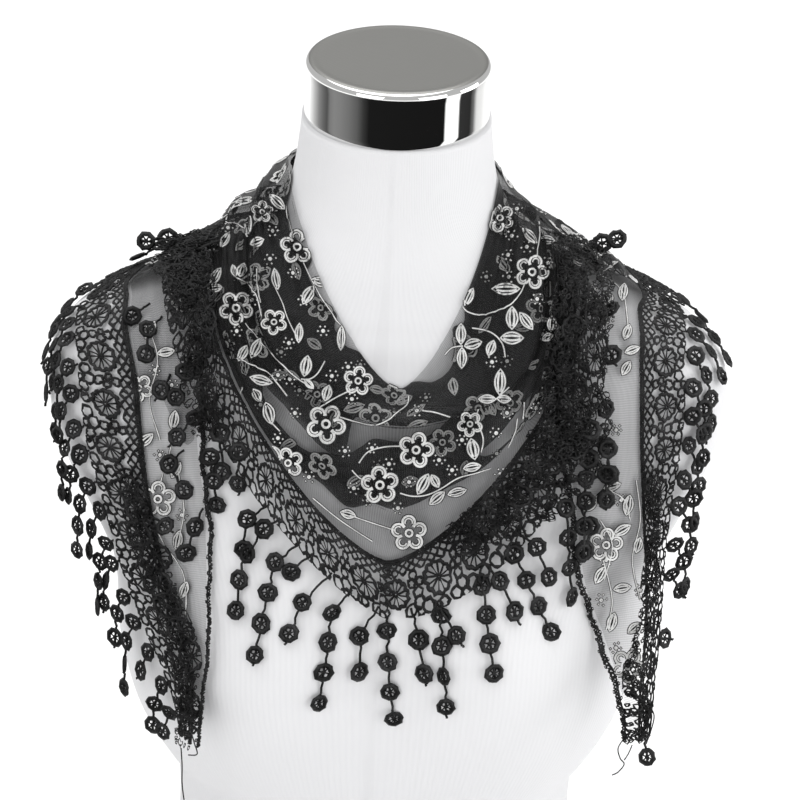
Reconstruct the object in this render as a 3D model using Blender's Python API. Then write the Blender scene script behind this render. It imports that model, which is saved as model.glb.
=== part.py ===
"""A lace-trimmed triangle scarf worn as a cowl on a limbless dress form.

The long edge of the sheer triangle lies round the throat, its point hangs on the chest in rolled
folds, and its two ends cross behind the neck and come forward over the shoulders as tails.
Both short edges carry a guipure lace band with a fringe of round medallions on short cords.

Sizes are in millimetres until a mesh is made. +Z is up, the front faces -Y and +X is on the
right of someone who looks at the front. The origin is the centre of the form's flat underside.
"""
import math

import bpy
import numpy as np
from mathutils import Vector
from mathutils.bvhtree import BVHTree

for old in list(bpy.data.objects):
    bpy.data.objects.remove(old, do_unlink=True)

METRE = 0.001            # metres in a millimetre

# Driving dimensions
SEAM_GAP = 0.35          # clear space between neighbouring pieces
EDGE_GAP = 0.9           # the same beside a seam whose two sides have different corners
CLOTH_WALL = 1.0         # sheer cloth
LACE_WALL = 1.2          # lace band
BRAID_WALL = 1.8         # narrow braid along the plain edge
BRAID_WIDTH = 3.4
BRAID_LIFT = 2.3         # least height of its middle over the form
CORD_WIDTH = 1.8         # twisted cord between two medallions
STRIP_WIDTH = 2.2        # heading that the fringe hangs from
MEDALLION_WIDTH = 11.4
MEDALLION_PITCH = 17.5   # from one medallion's centre to the next
FIRST_MEDALLION = 11.0   # from the heading to the first centre
STRAND_LIFT = 4.2        # least height of a strand's middle over the form
STRAND_CLEAR = 6.6       # the same from the cloth of a tail
STRAND_STEP = 2.0        # length over which a strand may turn
ROSETTE_PITCH = 27.0     # along the lace band
CAP_RADIUS = 54.5
CAP_HEIGHT = 35.0
CAP_ROUND = 5.0
NECK_HEIGHT = 491.0      # centre of the neck's top face
NECK_TILT = math.radians(6.0)
NECK_ROOT = 440.0        # height from which the neck leans forward

# The form's level sections: height, half width, front and back depth
FORM_SECTIONS = (
    (0, 126, 92, 88), (28, 121, 87, 82), (55, 120, 84, 78), (75, 121.5, 85, 78),
    (84, 127.5, 88, 79), (94, 134.5, 90, 80), (104, 140.5, 92, 82), (116, 146.5, 94, 83),
    (130, 151.5, 96, 85), (148, 156, 99, 87), (170, 159.5, 102, 90), (195, 160.5, 103, 92),
    (214, 163.5, 102, 94), (230, 170, 101, 95), (245, 177.5, 99, 96), (260, 185, 97, 97),
    (275, 192, 95, 97), (290, 197.5, 93, 97), (306, 201.5, 90, 96), (322, 203, 87, 94),
    (334, 202.5, 85, 92), (344, 200.5, 83, 90), (353, 196, 82, 88), (361, 190, 80, 87),
    (368, 182, 79, 86), (374, 172, 78, 84), (380, 158, 76, 83), (386, 143, 75, 81),
    (393, 127, 73, 79), (402, 110, 71, 76), (412, 95, 69, 72), (424, 81, 65, 67),
    (438, 67.5, 60, 61), (455, 60, 56, 57.5), (475, 57, 54, 55.5), (NECK_HEIGHT, 55.5, 54, 54.5),
)
SPARE_HEIGHTS = (28, 75, 104, 148, 306, 334)   # read only by the finer skin
SECTION_SQUARENESS = 2.25
BUST_REACH = 30.0        # how far each bust mound stands out of the section
BUST_SIDE = 70.0         # from the middle to a mound's crown
BUST_HEIGHT = 178.0
BUST_WIDTH = 42.0
BUST_BELOW = 34.0
BUST_ABOVE = 48.0
BUST_FADE = 6.0

# One row for each fold line of the front drape, from the neckline's hem down to the lace's lower edge.
# low_*: the line's lowest point. left_/right_ridge: where it crosses the shoulder's ridge.
# bow: 1 hangs as a V, 2 as a round U. flare: how far it swings out half way up.
# lift_*: height off the form at the low point, half way up, and on the ridges.
FOLD_COLUMNS = ("name", "low_x", "low_z", "left_ridge", "left_bow", "left_flare",
                "right_ridge", "right_bow", "right_flare",
                "lift_low", "lift_side", "lift_left", "lift_right")
FOLDS = (
    ("inner hem", 8, 351, -59.5, 1.95, -12, 60, 1.55, -2, 3, 3, 3, 3),
    ("neckline crest", 8, 341, -63.5, 1.35, -2, 63.5, 1.60, 2, 16, 8, 5, 5),
    ("upper roll crest", 7, 337, -68, 1.45, 7, 68, 1.55, 8, 26, 14, 11, 9),
    ("upper roll edge", 7, 332, -72, 1.75, 16, 74, 1.90, 23, 24, 13, 13, 11),
    ("upper roll tuck", 7, 331, -76, 1.75, 15, 79, 1.90, 20.5, 15, 9.5, 9, 9),
    ("lower roll crest", 6, 307, -85, 1.45, 14, 84, 1.50, 21, 20, 12, 13, 11),
    ("lower roll edge", 10, 282, -92, 1.15, 24, 90, 1.50, 17, 16, 10.5, 11, 11),
    ("lower roll tuck", 9, 280, -98, 1.20, 20, 95, 1.50, 15.5, 10, 8.5, 10, 9),
    ("seam", 3, 251, -104.5, 1.30, 6, 101, 1.10, 26, 3, 7.5, 9, 10),
    ("lace edge", 6, 217, -132, 1.45, -8, 110, 1.30, 36, 3, 8.5, 9, 10),
)
SEAM_ROW = 8
LACE_ROW = 9

# One row for each section of the two ends, from the front drape's ridge, behind the neck, over
# the other shoulder and down to the tip. Each gives the plain edge, the seam and the lace's
# outer edge (x, y, z), the height off the form, how high the gathers stand, and how closely the
# cloth follows the form (1 lies on it, 0 hangs free).
END_COLUMNS = ("plain_x", "plain_y", "plain_z", "seam_x", "seam_y", "seam_z",
               "lace_x", "lace_y", "lace_z", "lift", "gather", "hug")
OVER_END = (
    (-61, 0, 451, -104, 0, 406, -132, 0, 390, 7.0, 6, 1),
    (-52, 36, 455, -90, 48, 404, -112, 58, 378, 8.0, 7, 1),
    (-24, 58, 448, -42, 78, 392, -46, 88, 358, 8.5, 8, 1),
    (12, 62, 440, 8, 86, 380, 8, 92, 346, 8.0, 8, 1),
    (50, 52, 430, 60, 82, 372, 64, 90, 340, 7.5, 8, 1),
    (97, 30, 409, 118, 54, 373, 131, 68, 346, 7.5, 4, 1),
    (107, 2, 405, 147, 2, 384, 175, 2, 372, 3.2, 3.5, 1),
    (103, -46, 398, 146, -28, 386, 174, -16, 373, 2.6, 1.5, 1),
    (101, -75, 363, 147, -58, 364, 175, -44, 360, 2.4, 1, 1),
    (105, -82, 322, 149, -68, 318, 176, -56, 318, 2.4, 1, 0.8),
    (112, -86, 286, 152, -69, 281, 172, -60, 284, 2.4, 1, 0.3),
    (120, -90, 236, 156, -72, 238, 168, -64, 240, 2.4, 1, 0),
    (133, -84, 200, 157, -84, 203, 167, -74, 204, 2.4, 1, 0),
    (146, -104, 166, 155, -98, 167, 164, -90, 164, 2.4, 0.5, 0),
    (151, -104, 140, 156, -100, 138, 163, -94, 136, 2.4, 0, 0),
)
UNDER_END = (
    (59, 0, 460, 98, 0, 411, 124, 0, 394, 5.0, 5, 1),
    (52, 36, 456, 84, 48, 406, 100, 60, 380, 3.0, 1, 1),
    (24, 58, 446, 40, 78, 394, 44, 86, 362, 2.4, 1, 1),
    (-14, 60, 438, -16, 84, 382, -18, 92, 348, 2.6, 1, 1),
    (-52, 50, 428, -66, 80, 370, -72, 88, 338, 3.0, 1, 1),
    (-84, 32, 414, -112, 56, 372, -122, 70, 344, 3.0, 1, 1),
    (-106, 2, 405, -152, 2, 382, -180, 2, 369, 2.6, 1, 1),
    (-106, -50, 392, -154, -28, 381, -184, -18, 364, 2.4, 1, 1),
    (-110, -74, 355, -147, -62, 350, -183, -42, 347, 2.4, 0.8, 1),
    (-110, -82, 314, -142, -72, 309, -178, -52, 307, 2.4, 0.8, 1),
    (-105, -89, 279, -137, -77, 273, -169, -54, 270, 2.4, 1, 0.7),
    (-102, -100, 238, -126, -80, 232, -157, -56, 226, 2.4, 1, 0.2),
    (-101, -112, 207, -115, -92, 203, -143, -70, 196, 2.4, 1, 0),
    (-102, -114, 178, -109, -102, 176, -129, -84, 171, 2.4, 0.5, 0),
    (-104, -112, 154, -108, -104, 152, -120, -92, 150, 2.4, 0, 0),
    (-106, -110, 130, -109, -104, 128, -116, -96, 126, 2.4, 0, 0),
)
RIDGE_STATION = 6        # the section of an end that lies on the far shoulder's ridge
GATHERS = 2              # gathers across an end


def smooth_value(place, places, values):
    """Read a smooth curve, with no overshoot, through values given at rising places."""
    last = len(places) - 1
    place = min(max(place, places[0]), places[last])
    i = 0
    while i < last - 1 and place > places[i + 1]:
        i += 1

    def slope(k):
        return (values[k + 1] - values[k]) / (places[k + 1] - places[k])

    def tangent(k):
        if k == 0 or k == last:
            return slope(min(k, last - 1))
        before, after = slope(k - 1), slope(k)
        return 2 * before * after / (before + after) if before * after > 0 else 0.0

    width = places[i + 1] - places[i]
    t = (place - places[i]) / width
    return ((1 + 2 * t) * (1 - t) ** 2 * values[i] + t * (1 - t) ** 2 * width * tangent(i)
            + t * t * (3 - 2 * t) * values[i + 1] + t * t * (t - 1) * width * tangent(i + 1))


def through_rows(rows, place):
    """Read a Catmull-Rom curve through rows of numbers at a place from 0 to the last row."""
    last = len(rows) - 1
    i = min(max(int(place), 0), last - 1)
    t = place - i
    before, start, end, after = (np.asarray(rows[min(max(k, 0), last)], float)
                                 for k in (i - 1, i, i + 1, i + 2))
    return 0.5 * (2 * start + (end - before) * t + (2 * before - 5 * start + 4 * end - after) * t * t
                  + (3 * start - before - 3 * end + after) * t ** 3)


# ---------------------------------------------------------------- the dress form's surface
HEIGHTS, HALF_WIDTHS, FRONTS, BACKS = (list(column) for column in zip(*FORM_SECTIONS))


def half_width(z):
    return smooth_value(z, HEIGHTS, HALF_WIDTHS)


def section_share(side):
    """Depth of a section, as a share of its middle depth, at a share of its half width."""
    return (1 - min(side, 1) ** SECTION_SQUARENESS) ** (1 / SECTION_SQUARENESS)


def bust(x, z, width):
    """How far a bust mound stands out of the level section."""
    spread = BUST_BELOW if z < BUST_HEIGHT else BUST_ABOVE
    across = (abs(x) - BUST_SIDE) / BUST_WIDTH
    fade = min(max((1 - abs(x) / width) * BUST_FADE, 0), 1)
    return BUST_REACH * math.exp(-0.5 * across ** 2 - 0.5 * ((z - BUST_HEIGHT) / spread) ** 2) * fade


def front_depth(x, z):
    """How far the form's front stands forward of its middle plane."""
    width = half_width(z)
    return smooth_value(z, HEIGHTS, FRONTS) * section_share(abs(x) / width) + bust(x, z, width)


def ring(z, count):
    """One level ring of the form, leaning forward with the neck's top."""
    lean = math.tan(NECK_TILT) * min(max((z - NECK_ROOT) / (NECK_HEIGHT - NECK_ROOT), 0), 1)
    width, front, back = (smooth_value(z, HEIGHTS, column)
                          for column in (HALF_WIDTHS, FRONTS, BACKS))
    points = []
    for k in range(count):
        turn = 2 * math.pi * k / count
        side, ahead = math.sin(turn), math.cos(turn)
        x = width * math.copysign(abs(side) ** (2 / SECTION_SQUARENESS), side)
        depth = abs(ahead) ** (2 / SECTION_SQUARENESS)
        y = -front * depth - bust(x, z, width) if ahead >= 0 else back * depth
        points.append((x, y, z + lean * y))
    return points


def skin_tree(levels, count):
    """A fine copy of the form's skin that tells how far a point is from it."""
    points, faces = [], []
    for level in range(levels + 1):
        points += ring(NECK_HEIGHT * level / levels, count)
    for level in range(levels):
        for k in range(count):
            a, b = level * count + k, level * count + (k + 1) % count
            faces.append((a, b, b + count, a + count))
    return BVHTree.FromPolygons(points, faces)


SKIN = skin_tree(levels=140, count=120)


def over_form(point, lift, hug):
    """Set a point off the form: exactly at lift where hug is 1, at least that where it is 0."""
    point = Vector(point)
    foot, face_normal, _, distance = SKIN.find_nearest(point)
    outside = (point - foot).dot(face_normal) > 0
    away = (point - foot).normalized() if outside and distance > 1.0 else face_normal
    reach = distance if outside else -distance
    free = point if reach >= lift else foot + away * lift
    return np.array(free.lerp(foot + away * lift, hug))


def clear_of(point, tree):
    """Move a strand's point away from the cloth it hangs over."""
    foot, _, _, distance = tree.find_nearest(Vector(point), STRAND_CLEAR) if tree else (None,) * 4
    if foot is None or distance >= STRAND_CLEAR:
        return point
    return np.array(foot + (Vector(point) - foot).normalized() * STRAND_CLEAR)


def outward(point):
    """The direction away from the form at a point."""
    foot, face_normal, _, distance = SKIN.find_nearest(Vector(point))
    away = Vector(point) - foot
    return np.array(away.normalized() if distance > 1.0 else face_normal)


def ridge_height(x):
    """The height at which the form's outline, seen from the front, is |x| wide."""
    low, high = 330.0, NECK_HEIGHT
    for _ in range(40):
        middle = 0.5 * (low + high)
        if half_width(middle) > abs(x):
            low = middle
        else:
            high = middle
    return low


# ---------------------------------------------------------------- the cloth's surfaces
def fold_line(fold, across):
    """x, z and lift of a fold line; across runs from -1 on the left ridge to 1 on the right."""
    row = dict(zip(FOLD_COLUMNS, fold))
    side = "left" if across < 0 else "right"
    ridge_x = row[side + "_ridge"]
    turn = abs(across) * math.pi / 2
    power = 2 / row[side + "_bow"]
    x = row["low_x"] + (ridge_x - row["low_x"]) * math.sin(turn) ** power
    x += math.copysign(row[side + "_flare"] * math.sin(2 * turn), ridge_x)
    rise = 1 - max(math.cos(turn), 0) ** power
    z = row["low_z"] + (ridge_height(ridge_x) - row["low_z"]) * rise
    lift = smooth_value(abs(across), (0, 0.5, 1),
                        (row["lift_low"], row["lift_side"], row["lift_" + side]))
    return x, z, float(lift)


def drape_point(across, down):
    """A point of the front drape; down counts fold lines from the neckline."""
    lines = [fold_line(fold, across) for fold in FOLDS[:SEAM_ROW + 1]]
    order = range(len(lines))
    return on_front(*(smooth_value(down, order, [line[k] for line in lines]) for k in range(3)))


def drape_lace_point(across, out):
    """A point of the lace below the front drape; out is 0 on the seam and 1 on its outer edge."""
    inner = np.array(fold_line(FOLDS[SEAM_ROW], across))
    outer = np.array(fold_line(FOLDS[LACE_ROW], across))
    return on_front(*(inner + (outer - inner) * out))


def on_front(x, z, lift):
    x = math.copysign(min(abs(x), half_width(z) * 0.9995), x)
    return over_form((x, -front_depth(x, z), z), lift, 1)


def end_point(rows, along, out):
    """A point of one end; out is 0 on the plain edge, 1 on the seam and 2 on the lace's edge."""
    row = dict(zip(END_COLUMNS, through_rows(rows, along)))
    plain, seam, lace = (np.array([row[part + axis] for axis in ("_x", "_y", "_z")])
                         for part in ("plain", "seam", "lace"))
    hug = min(max(row["hug"], 0), 1)
    lift = row["lift"]
    if out > 1:
        return over_form(seam + (lace - seam) * (out - 1), lift, hug)
    lift += max(row["gather"], 0) * math.sin(math.pi * GATHERS * out) ** 2
    point = over_form(plain + (seam - plain) * out, lift, hug)
    if along < 1:
        side = 1 if rows is UNDER_END else -1
        start = dict(zip(END_COLUMNS, rows[0]))
        first = (np.array([start["plain" + axis] for axis in ("_x", "_y", "_z")]) * (1 - out)
                 + np.array([start["seam" + axis] for axis in ("_x", "_y", "_z")]) * out)
        first_lift = start["lift"] + start["gather"] * math.sin(math.pi * GATHERS * out) ** 2
        fade = (1 - along) ** 2 * (1 + 2 * along)
        point = point + (drape_point(side, out * SEAM_ROW) - over_form(first, first_lift, 1)) * fade
    return point


# ---------------------------------------------------------------- solids
def finish(name, points, triangles, material):
    """Make one closed object from millimetre points, with its faces pointing out."""
    points = np.asarray(points, float)
    used = sorted({i for triangle in triangles for i in triangle})
    new_index = {old: new for new, old in enumerate(used)}
    points = points[used]
    triangles = [tuple(new_index[i] for i in triangle) for triangle in triangles]
    corners = points[np.array(triangles)]
    volume = np.einsum("ij,ij->i", corners[:, 0], np.cross(corners[:, 1], corners[:, 2])).sum()
    if volume < 0:
        triangles = [triangle[::-1] for triangle in triangles]
    mesh = bpy.data.meshes.new(name)
    mesh.from_pydata((points * METRE).tolist(), [], triangles)
    mesh.materials.append(material)
    thing = bpy.data.objects.new(name, mesh)
    bpy.context.scene.collection.objects.link(thing)
    mesh.shade_smooth()
    mesh.set_sharp_from_angle(angle=math.radians(40))
    return thing


def quad(a, b, c, d):
    return [(a, b, c), (a, c, d)]


def wall(name, grid, thickness, material, holes=()):
    """A wall of even thickness about a grid of points; holes are cells that are cut through."""
    grid = np.asarray(grid, float)
    rows, columns = grid.shape[:2]
    normals = np.cross(np.gradient(grid, axis=0), np.gradient(grid, axis=1))
    normals /= np.linalg.norm(normals, axis=2, keepdims=True)
    top = (grid + normals * thickness / 2).reshape(-1, 3)
    bottom = (grid - normals * thickness / 2).reshape(-1, 3)
    under = rows * columns
    holes = set(holes)
    triangles = []

    def solid(i, j):
        return 0 <= i < rows - 1 and 0 <= j < columns - 1 and (i, j) not in holes

    for i in range(rows - 1):
        for j in range(columns - 1):
            if not solid(i, j):
                continue
            a, b = i * columns + j, i * columns + j + 1
            c, d = (i + 1) * columns + j + 1, (i + 1) * columns + j
            triangles += quad(a, b, c, d)
            triangles += [(p + under, r + under, q + under) for p, q, r in quad(a, b, c, d)]
            for (p, q), (ni, nj) in (((a, b), (i - 1, j)), ((b, c), (i, j + 1)),
                                     ((c, d), (i + 1, j)), ((d, a), (i, j - 1))):
                if not solid(ni, nj):
                    triangles += quad(q, p, p + under, q + under)
    return finish(name, np.concatenate([top, bottom]), triangles, material)


def along_edge(point_at, start, end, samples=240):
    """Places from start to end, and their distance along the line that point_at draws."""
    places = np.linspace(start, end, samples)
    points = np.array([point_at(place) for place in places])
    steps = np.linalg.norm(np.diff(points, axis=0), axis=1)
    return places, np.concatenate([[0], np.cumsum(steps)])


# Share of a rosette's pitch taken by the rosette, then by the bars and the two loops beside it
LACE_COLUMNS = (0.0, 0.50, 0.55, 0.725, 0.775, 0.95)
LOOP_COLUMNS = (2, 4)
PLAIN_COLUMNS = (0.0, 0.40, 0.68)        # the same for crumpled lace, with its widest loop only
PLAIN_LOOPS = (1,)
LACE_ROWS = (0.0, 0.64, 0.92, 1.0)
LOOP_ROW = 1


def lace_band(name, point_at, start, end, shares=LACE_COLUMNS, loops=LOOP_COLUMNS,
              gap=EDGE_GAP):
    """A lace band with the open loops beside each rosette cut through."""
    places, distance = along_edge(lambda place: point_at(place, 0.8), start, end)
    count = max(int(round(distance[-1] / ROSETTE_PITCH)), 1)
    marks, holes = [], set()
    for pitch in range(count):
        for k, share in enumerate(shares):
            if k in loops:
                holes.add((LOOP_ROW, len(marks)))
            marks.append((pitch + share) / count)
    marks.append(1.0)
    grid = [[] for _ in LACE_ROWS]
    for place in np.interp(np.array(marks) * distance[-1], distance, places):
        width = np.linalg.norm(point_at(place, 1.0) - point_at(place, 0.0))
        inset = min(gap / width, 0.2)
        for line, out in enumerate(LACE_ROWS):
            grid[line].append(point_at(place, inset + (1 - inset) * out))
    return wall(name, grid, LACE_WALL, guipure, holes)


# ---------------------------------------------------------------- fringe
def strand(start, heading, side, medallions, fall, below):
    """Rings of one hanging cord and its medallions: centre, side, normal and width."""
    here, rings, walked = np.array(start, float), [], 0.0
    stops = []
    for k in range(medallions):
        middle = FIRST_MEDALLION + MEDALLION_PITCH * k
        for offset, width in ((-0.5, CORD_WIDTH), (-0.25, MEDALLION_WIDTH),
                              (0.25, MEDALLION_WIDTH), (0.5, CORD_WIDTH)):
            stops.append((middle + offset * MEDALLION_WIDTH, width))
    down = np.array([0.0, 0.0, -1.0])
    for stop, width in stops:
        while walked < stop - 1e-6:
            step = min(STRAND_STEP, stop - walked)
            heading = heading + down * fall * step
            heading /= np.linalg.norm(heading)
            ahead = clear_of(over_form(here + heading * step, STRAND_LIFT, 0), below)
            heading = ahead - here
            heading /= np.linalg.norm(heading)
            here = here + heading * step
            walked += step
        normal = outward(here)
        across = np.cross(normal, heading)
        across /= np.linalg.norm(across)
        if across.dot(side) < 0:
            across = -across
        level = np.cross(heading, across)
        if level.dot(normal) < 0:
            level = -level
        rings.append((here.copy(), across, level, width))
    return rings


def fringe(name, point_at, start, end, lengths, fall, below, gap=EDGE_GAP):
    """A narrow heading beside the lace's outer edge, with its strands fused to it."""
    places, distance = along_edge(lambda place: point_at(place, 1.0), start, end)
    count = len(lengths)
    cord_share = CORD_WIDTH / distance[-1] / 2
    marks, hung = [0.0], {}
    for k, medallions in enumerate(lengths):
        middle = (k + 0.5) / count
        marks.append(middle - cord_share)
        if medallions:
            hung[len(marks) - 1] = medallions
        marks.append(middle + cord_share)
    marks.append(1.0)
    inner, outer, normals = [], [], []
    for place in np.interp(np.array(marks) * distance[-1], distance, places):
        edge = point_at(place, 1.0)
        out = edge - point_at(place, 0.8)
        out /= np.linalg.norm(out)
        inner.append(edge + out * gap)
        outer.append(edge + out * (gap + STRIP_WIDTH))
        normals.append(outward(edge))
    inner, outer, normals = np.array(inner), np.array(outer), np.array(normals)
    half = LACE_WALL / 2
    points = np.concatenate([inner + normals * half, inner - normals * half,
                             outer + normals * half, outer - normals * half])
    total = len(inner)
    triangles = []
    for j in range(total - 1):
        it, ib, ot, ob = j, total + j, 2 * total + j, 3 * total + j
        triangles += quad(it, it + 1, ot + 1, ot)
        triangles += quad(ib + 1, ib, ob, ob + 1)
        triangles += quad(it + 1, it, ib, ib + 1)
        if j not in hung:
            triangles += quad(ot, ot + 1, ob + 1, ob)
    triangles += quad(0, 2 * total, 3 * total, total)
    last = total - 1
    triangles += quad(2 * total + last, last, total + last, 3 * total + last)
    points = points.tolist()
    for j, medallions in hung.items():
        loop = [2 * total + j, 2 * total + j + 1, 3 * total + j + 1, 3 * total + j]
        root = 0.5 * (outer[j] + outer[j + 1])
        heading = 0.5 * (outer[j] + outer[j + 1] - inner[j] - inner[j + 1])
        heading /= np.linalg.norm(heading)
        for centre, across, level, width in strand(root, heading, outer[j + 1] - outer[j],
                                                   medallions, fall, below):
            first = len(points)
            for side, height in ((-1, 1), (1, 1), (1, -1), (-1, -1)):
                points.append((centre + across * side * width / 2 + level * height * half).tolist())
            new = [first, first + 1, first + 2, first + 3]
            for k in range(4):
                triangles += quad(loop[k], loop[(k + 1) % 4], new[(k + 1) % 4], new[k])
            loop = new
        triangles += quad(*loop)
    return finish(name, points, triangles, guipure)


def material(name, colour, roughness, metallic=0.0):
    made = bpy.data.materials.new(name)
    made.use_nodes = True
    shader = made.node_tree.nodes["Principled BSDF"]
    shader.inputs["Base Color"].default_value = (*colour, 1.0)
    shader.inputs["Roughness"].default_value = roughness
    shader.inputs["Metallic"].default_value = metallic
    made.diffuse_color = (*colour, 1.0)
    return made


jersey = material("white jersey", (0.86, 0.86, 0.88), 0.85)
chrome = material("polished chrome", (0.75, 0.75, 0.76), 0.08, 1.0)
sheer = material("sheer black mesh", (0.045, 0.045, 0.048), 0.7)
guipure = material("black guipure lace", (0.012, 0.012, 0.013), 0.75)


# ---------------------------------------------------------------- dress form and neck cap
def make_form(sides=36):
    """The limbless torso, closed by its flat base and the leaning top of the neck."""
    levels = [height for height in HEIGHTS if height not in SPARE_HEIGHTS]
    points, triangles = [], []
    for height in levels:
        points += ring(height, sides)
    for level in range(len(levels) - 1):
        for k in range(sides):
            a, b = level * sides + k, level * sides + (k + 1) % sides
            triangles += quad(a, b, b + sides, a + sides)
    top = (len(levels) - 1) * sides
    for k in range(1, sides - 1):
        triangles.append((0, k + 1, k))
        triangles.append((top, top + k, top + k + 1))
    return finish("dress_form", points, triangles, jersey)


def make_cap(sides=36):
    """The turned metal cap that closes the neck, with a rounded upper rim."""
    profile = [(CAP_RADIUS, 0.0), (CAP_RADIUS, CAP_HEIGHT - CAP_ROUND)]
    for step in range(1, 4):
        turn = step / 3 * math.pi / 2
        profile.append((CAP_RADIUS - CAP_ROUND * (1 - math.cos(turn)),
                        CAP_HEIGHT - CAP_ROUND * (1 - math.sin(turn))))
    points, triangles = [], []
    for radius, height in profile:
        for k in range(sides):
            turn = 2 * math.pi * k / sides
            x, y, z = radius * math.sin(turn), -radius * math.cos(turn), height + SEAM_GAP
            points.append((x, y * math.cos(NECK_TILT) - z * math.sin(NECK_TILT),
                           NECK_HEIGHT + z * math.cos(NECK_TILT) + y * math.sin(NECK_TILT)))
    for level in range(len(profile) - 1):
        for k in range(sides):
            a, b = level * sides + k, level * sides + (k + 1) % sides
            triangles += quad(a, b, b + sides, a + sides)
    top = (len(profile) - 1) * sides
    for k in range(1, sides - 1):
        triangles.append((0, k + 1, k))
        triangles.append((top, top + k, top + k + 1))
    return finish("neck_cap", points, triangles, chrome)


# ---------------------------------------------------------------- the scarf
def make_front_drape(columns=23, steps=3):
    """The front of the triangle, in its rolled folds, from one shoulder's ridge to the other's."""
    downs = np.linspace(0, SEAM_ROW, SEAM_ROW * steps + 1)
    grid = [[drape_point(across, down) for across in np.linspace(-DRAPE_END, DRAPE_END, columns)]
            for down in downs]
    return wall("front_drape", grid, CLOTH_WALL, sheer)


def even_places(point_at, start, end, columns):
    """Places from start to end that are evenly far apart along the line that point_at draws."""
    places, distance = along_edge(point_at, start, end)
    return np.interp(np.linspace(0, distance[-1], columns), distance, places)


def make_end(name, rows, start, end, columns, lines=7):
    """One stretch of an end as a wall between its plain edge and its seam."""
    alongs = even_places(lambda place: end_point(rows, place, 0.9), start, end, columns)
    grid = [[end_point(rows, along, out) for along in alongs] for out in np.linspace(0, 1, lines)]
    return wall(name, grid, CLOTH_WALL, sheer)


def make_braid(name, rows, start, end, columns):
    """The narrow braid along an end's plain edge."""
    grid = [[], []]
    for along in even_places(lambda place: end_point(rows, place, 0), start, end, columns):
        edge, inside = end_point(rows, along, 0), end_point(rows, along, 0.12)
        out = edge - inside
        out /= np.linalg.norm(out)
        for line, reach in enumerate((EDGE_GAP, EDGE_GAP + BRAID_WIDTH)):
            grid[line].append(over_form(edge + out * reach, BRAID_LIFT, 0))
    return wall(name, grid, BRAID_WALL, guipure)


def end_lace(rows):
    return lambda place, out: end_point(rows, place, 1 + out)


def tree_of(*things):
    """Finished pieces as one tree of faces, in millimetres."""
    points, faces = [], []
    for thing in things:
        first = len(points)
        points += [tuple(corner.co / METRE) for corner in thing.data.vertices]
        faces += [tuple(first + i for i in face.vertices) for face in thing.data.polygons]
    return BVHTree.FromPolygons(points, faces)


DRAPE_END = 0.996
RIDGE_SEAM = 0.008       # half the share of a section left open where two stretches meet
END_START = 0.06
BACK_GAP = 1.2           # seams behind the neck, where the corners are further apart
BACK_FRINGE_GAP = 1.8
DRAPE_FRINGE_GAP = 1.2
OVER_TIP = len(OVER_END) - 1
UNDER_TIP = len(UNDER_END) - 1

make_form()
make_cap()
make_front_drape()
wrap_over = make_end("wrap_over", OVER_END, END_START, RIDGE_STATION - RIDGE_SEAM, 24)
wrap_under = make_end("wrap_under", UNDER_END, END_START, RIDGE_STATION - RIDGE_SEAM, 24)
right_tail = make_end("right_tail", OVER_END, RIDGE_STATION + RIDGE_SEAM, OVER_TIP - 0.4, 28)
left_tail = make_end("left_tail", UNDER_END, RIDGE_STATION + RIDGE_SEAM, UNDER_TIP - 0.8, 28)
right_braid = make_braid("right_tail_braid", OVER_END, 7.4, OVER_TIP, 20)
left_braid = make_braid("left_tail_braid", UNDER_END, 7.1, UNDER_TIP, 20)

lace_band("drape_lace_left", drape_lace_point, -0.99, -0.006)
lace_band("drape_lace_right", drape_lace_point, 0.006, 0.88)
right_lace = lace_band("right_tail_lace", end_lace(OVER_END), RIDGE_STATION + RIDGE_SEAM,
                       OVER_TIP - 0.05, PLAIN_COLUMNS, PLAIN_LOOPS)
left_lace = lace_band("left_tail_lace", end_lace(UNDER_END), RIDGE_STATION + RIDGE_SEAM,
                      UNDER_TIP - 0.05, PLAIN_COLUMNS, PLAIN_LOOPS)
lace_band("wrap_over_lace", end_lace(OVER_END), END_START, RIDGE_STATION - RIDGE_SEAM,
          PLAIN_COLUMNS, PLAIN_LOOPS, BACK_GAP)
under_lace = lace_band("wrap_under_lace", end_lace(UNDER_END), 3.6, RIDGE_STATION - RIDGE_SEAM,
                       PLAIN_COLUMNS, PLAIN_LOOPS, BACK_GAP)

# Medallions on each strand, in order along the lace's outer edge; 0 leaves a place empty
over_tails = tree_of(right_tail, left_tail, right_braid, left_braid, right_lace, left_lace)
over_wrap = tree_of(wrap_under, under_lace)
fringe("drape_fringe_left", drape_lace_point, -0.97, -0.01,
       (0, 0, 2, 0, 0, 4, 0, 4, 0, 4, 2, 4, 2, 4, 2, 4), 0.09, over_tails, DRAPE_FRINGE_GAP)
fringe("drape_fringe_right", drape_lace_point, 0.86, 0.01,
       (0, 0, 0, 3, 0, 0, 3, 0, 4, 0, 2, 4, 2, 4, 2), 0.09, over_tails, DRAPE_FRINGE_GAP)
fringe("left_tail_fringe", end_lace(UNDER_END), RIDGE_STATION + 0.02, UNDER_TIP - 0.1,
       (2, 0, 3, 0, 3, 0, 3, 0, 3, 0, 3, 0, 2, 0), 0.05, None, DRAPE_FRINGE_GAP)
fringe("right_tail_fringe", end_lace(OVER_END), RIDGE_STATION + 0.02, OVER_TIP - 0.1,
       (2, 0, 3, 0, 3, 0, 3, 0, 2, 0, 2, 0, 2, 0), 0.05, None, DRAPE_FRINGE_GAP)
fringe("wrap_over_fringe", end_lace(OVER_END), 0.05, RIDGE_STATION - 0.03,
       (1, 0, 2, 0, 2, 0, 2, 0, 2, 0, 2, 0, 2, 0), 0.06, over_wrap, BACK_FRINGE_GAP)
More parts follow.
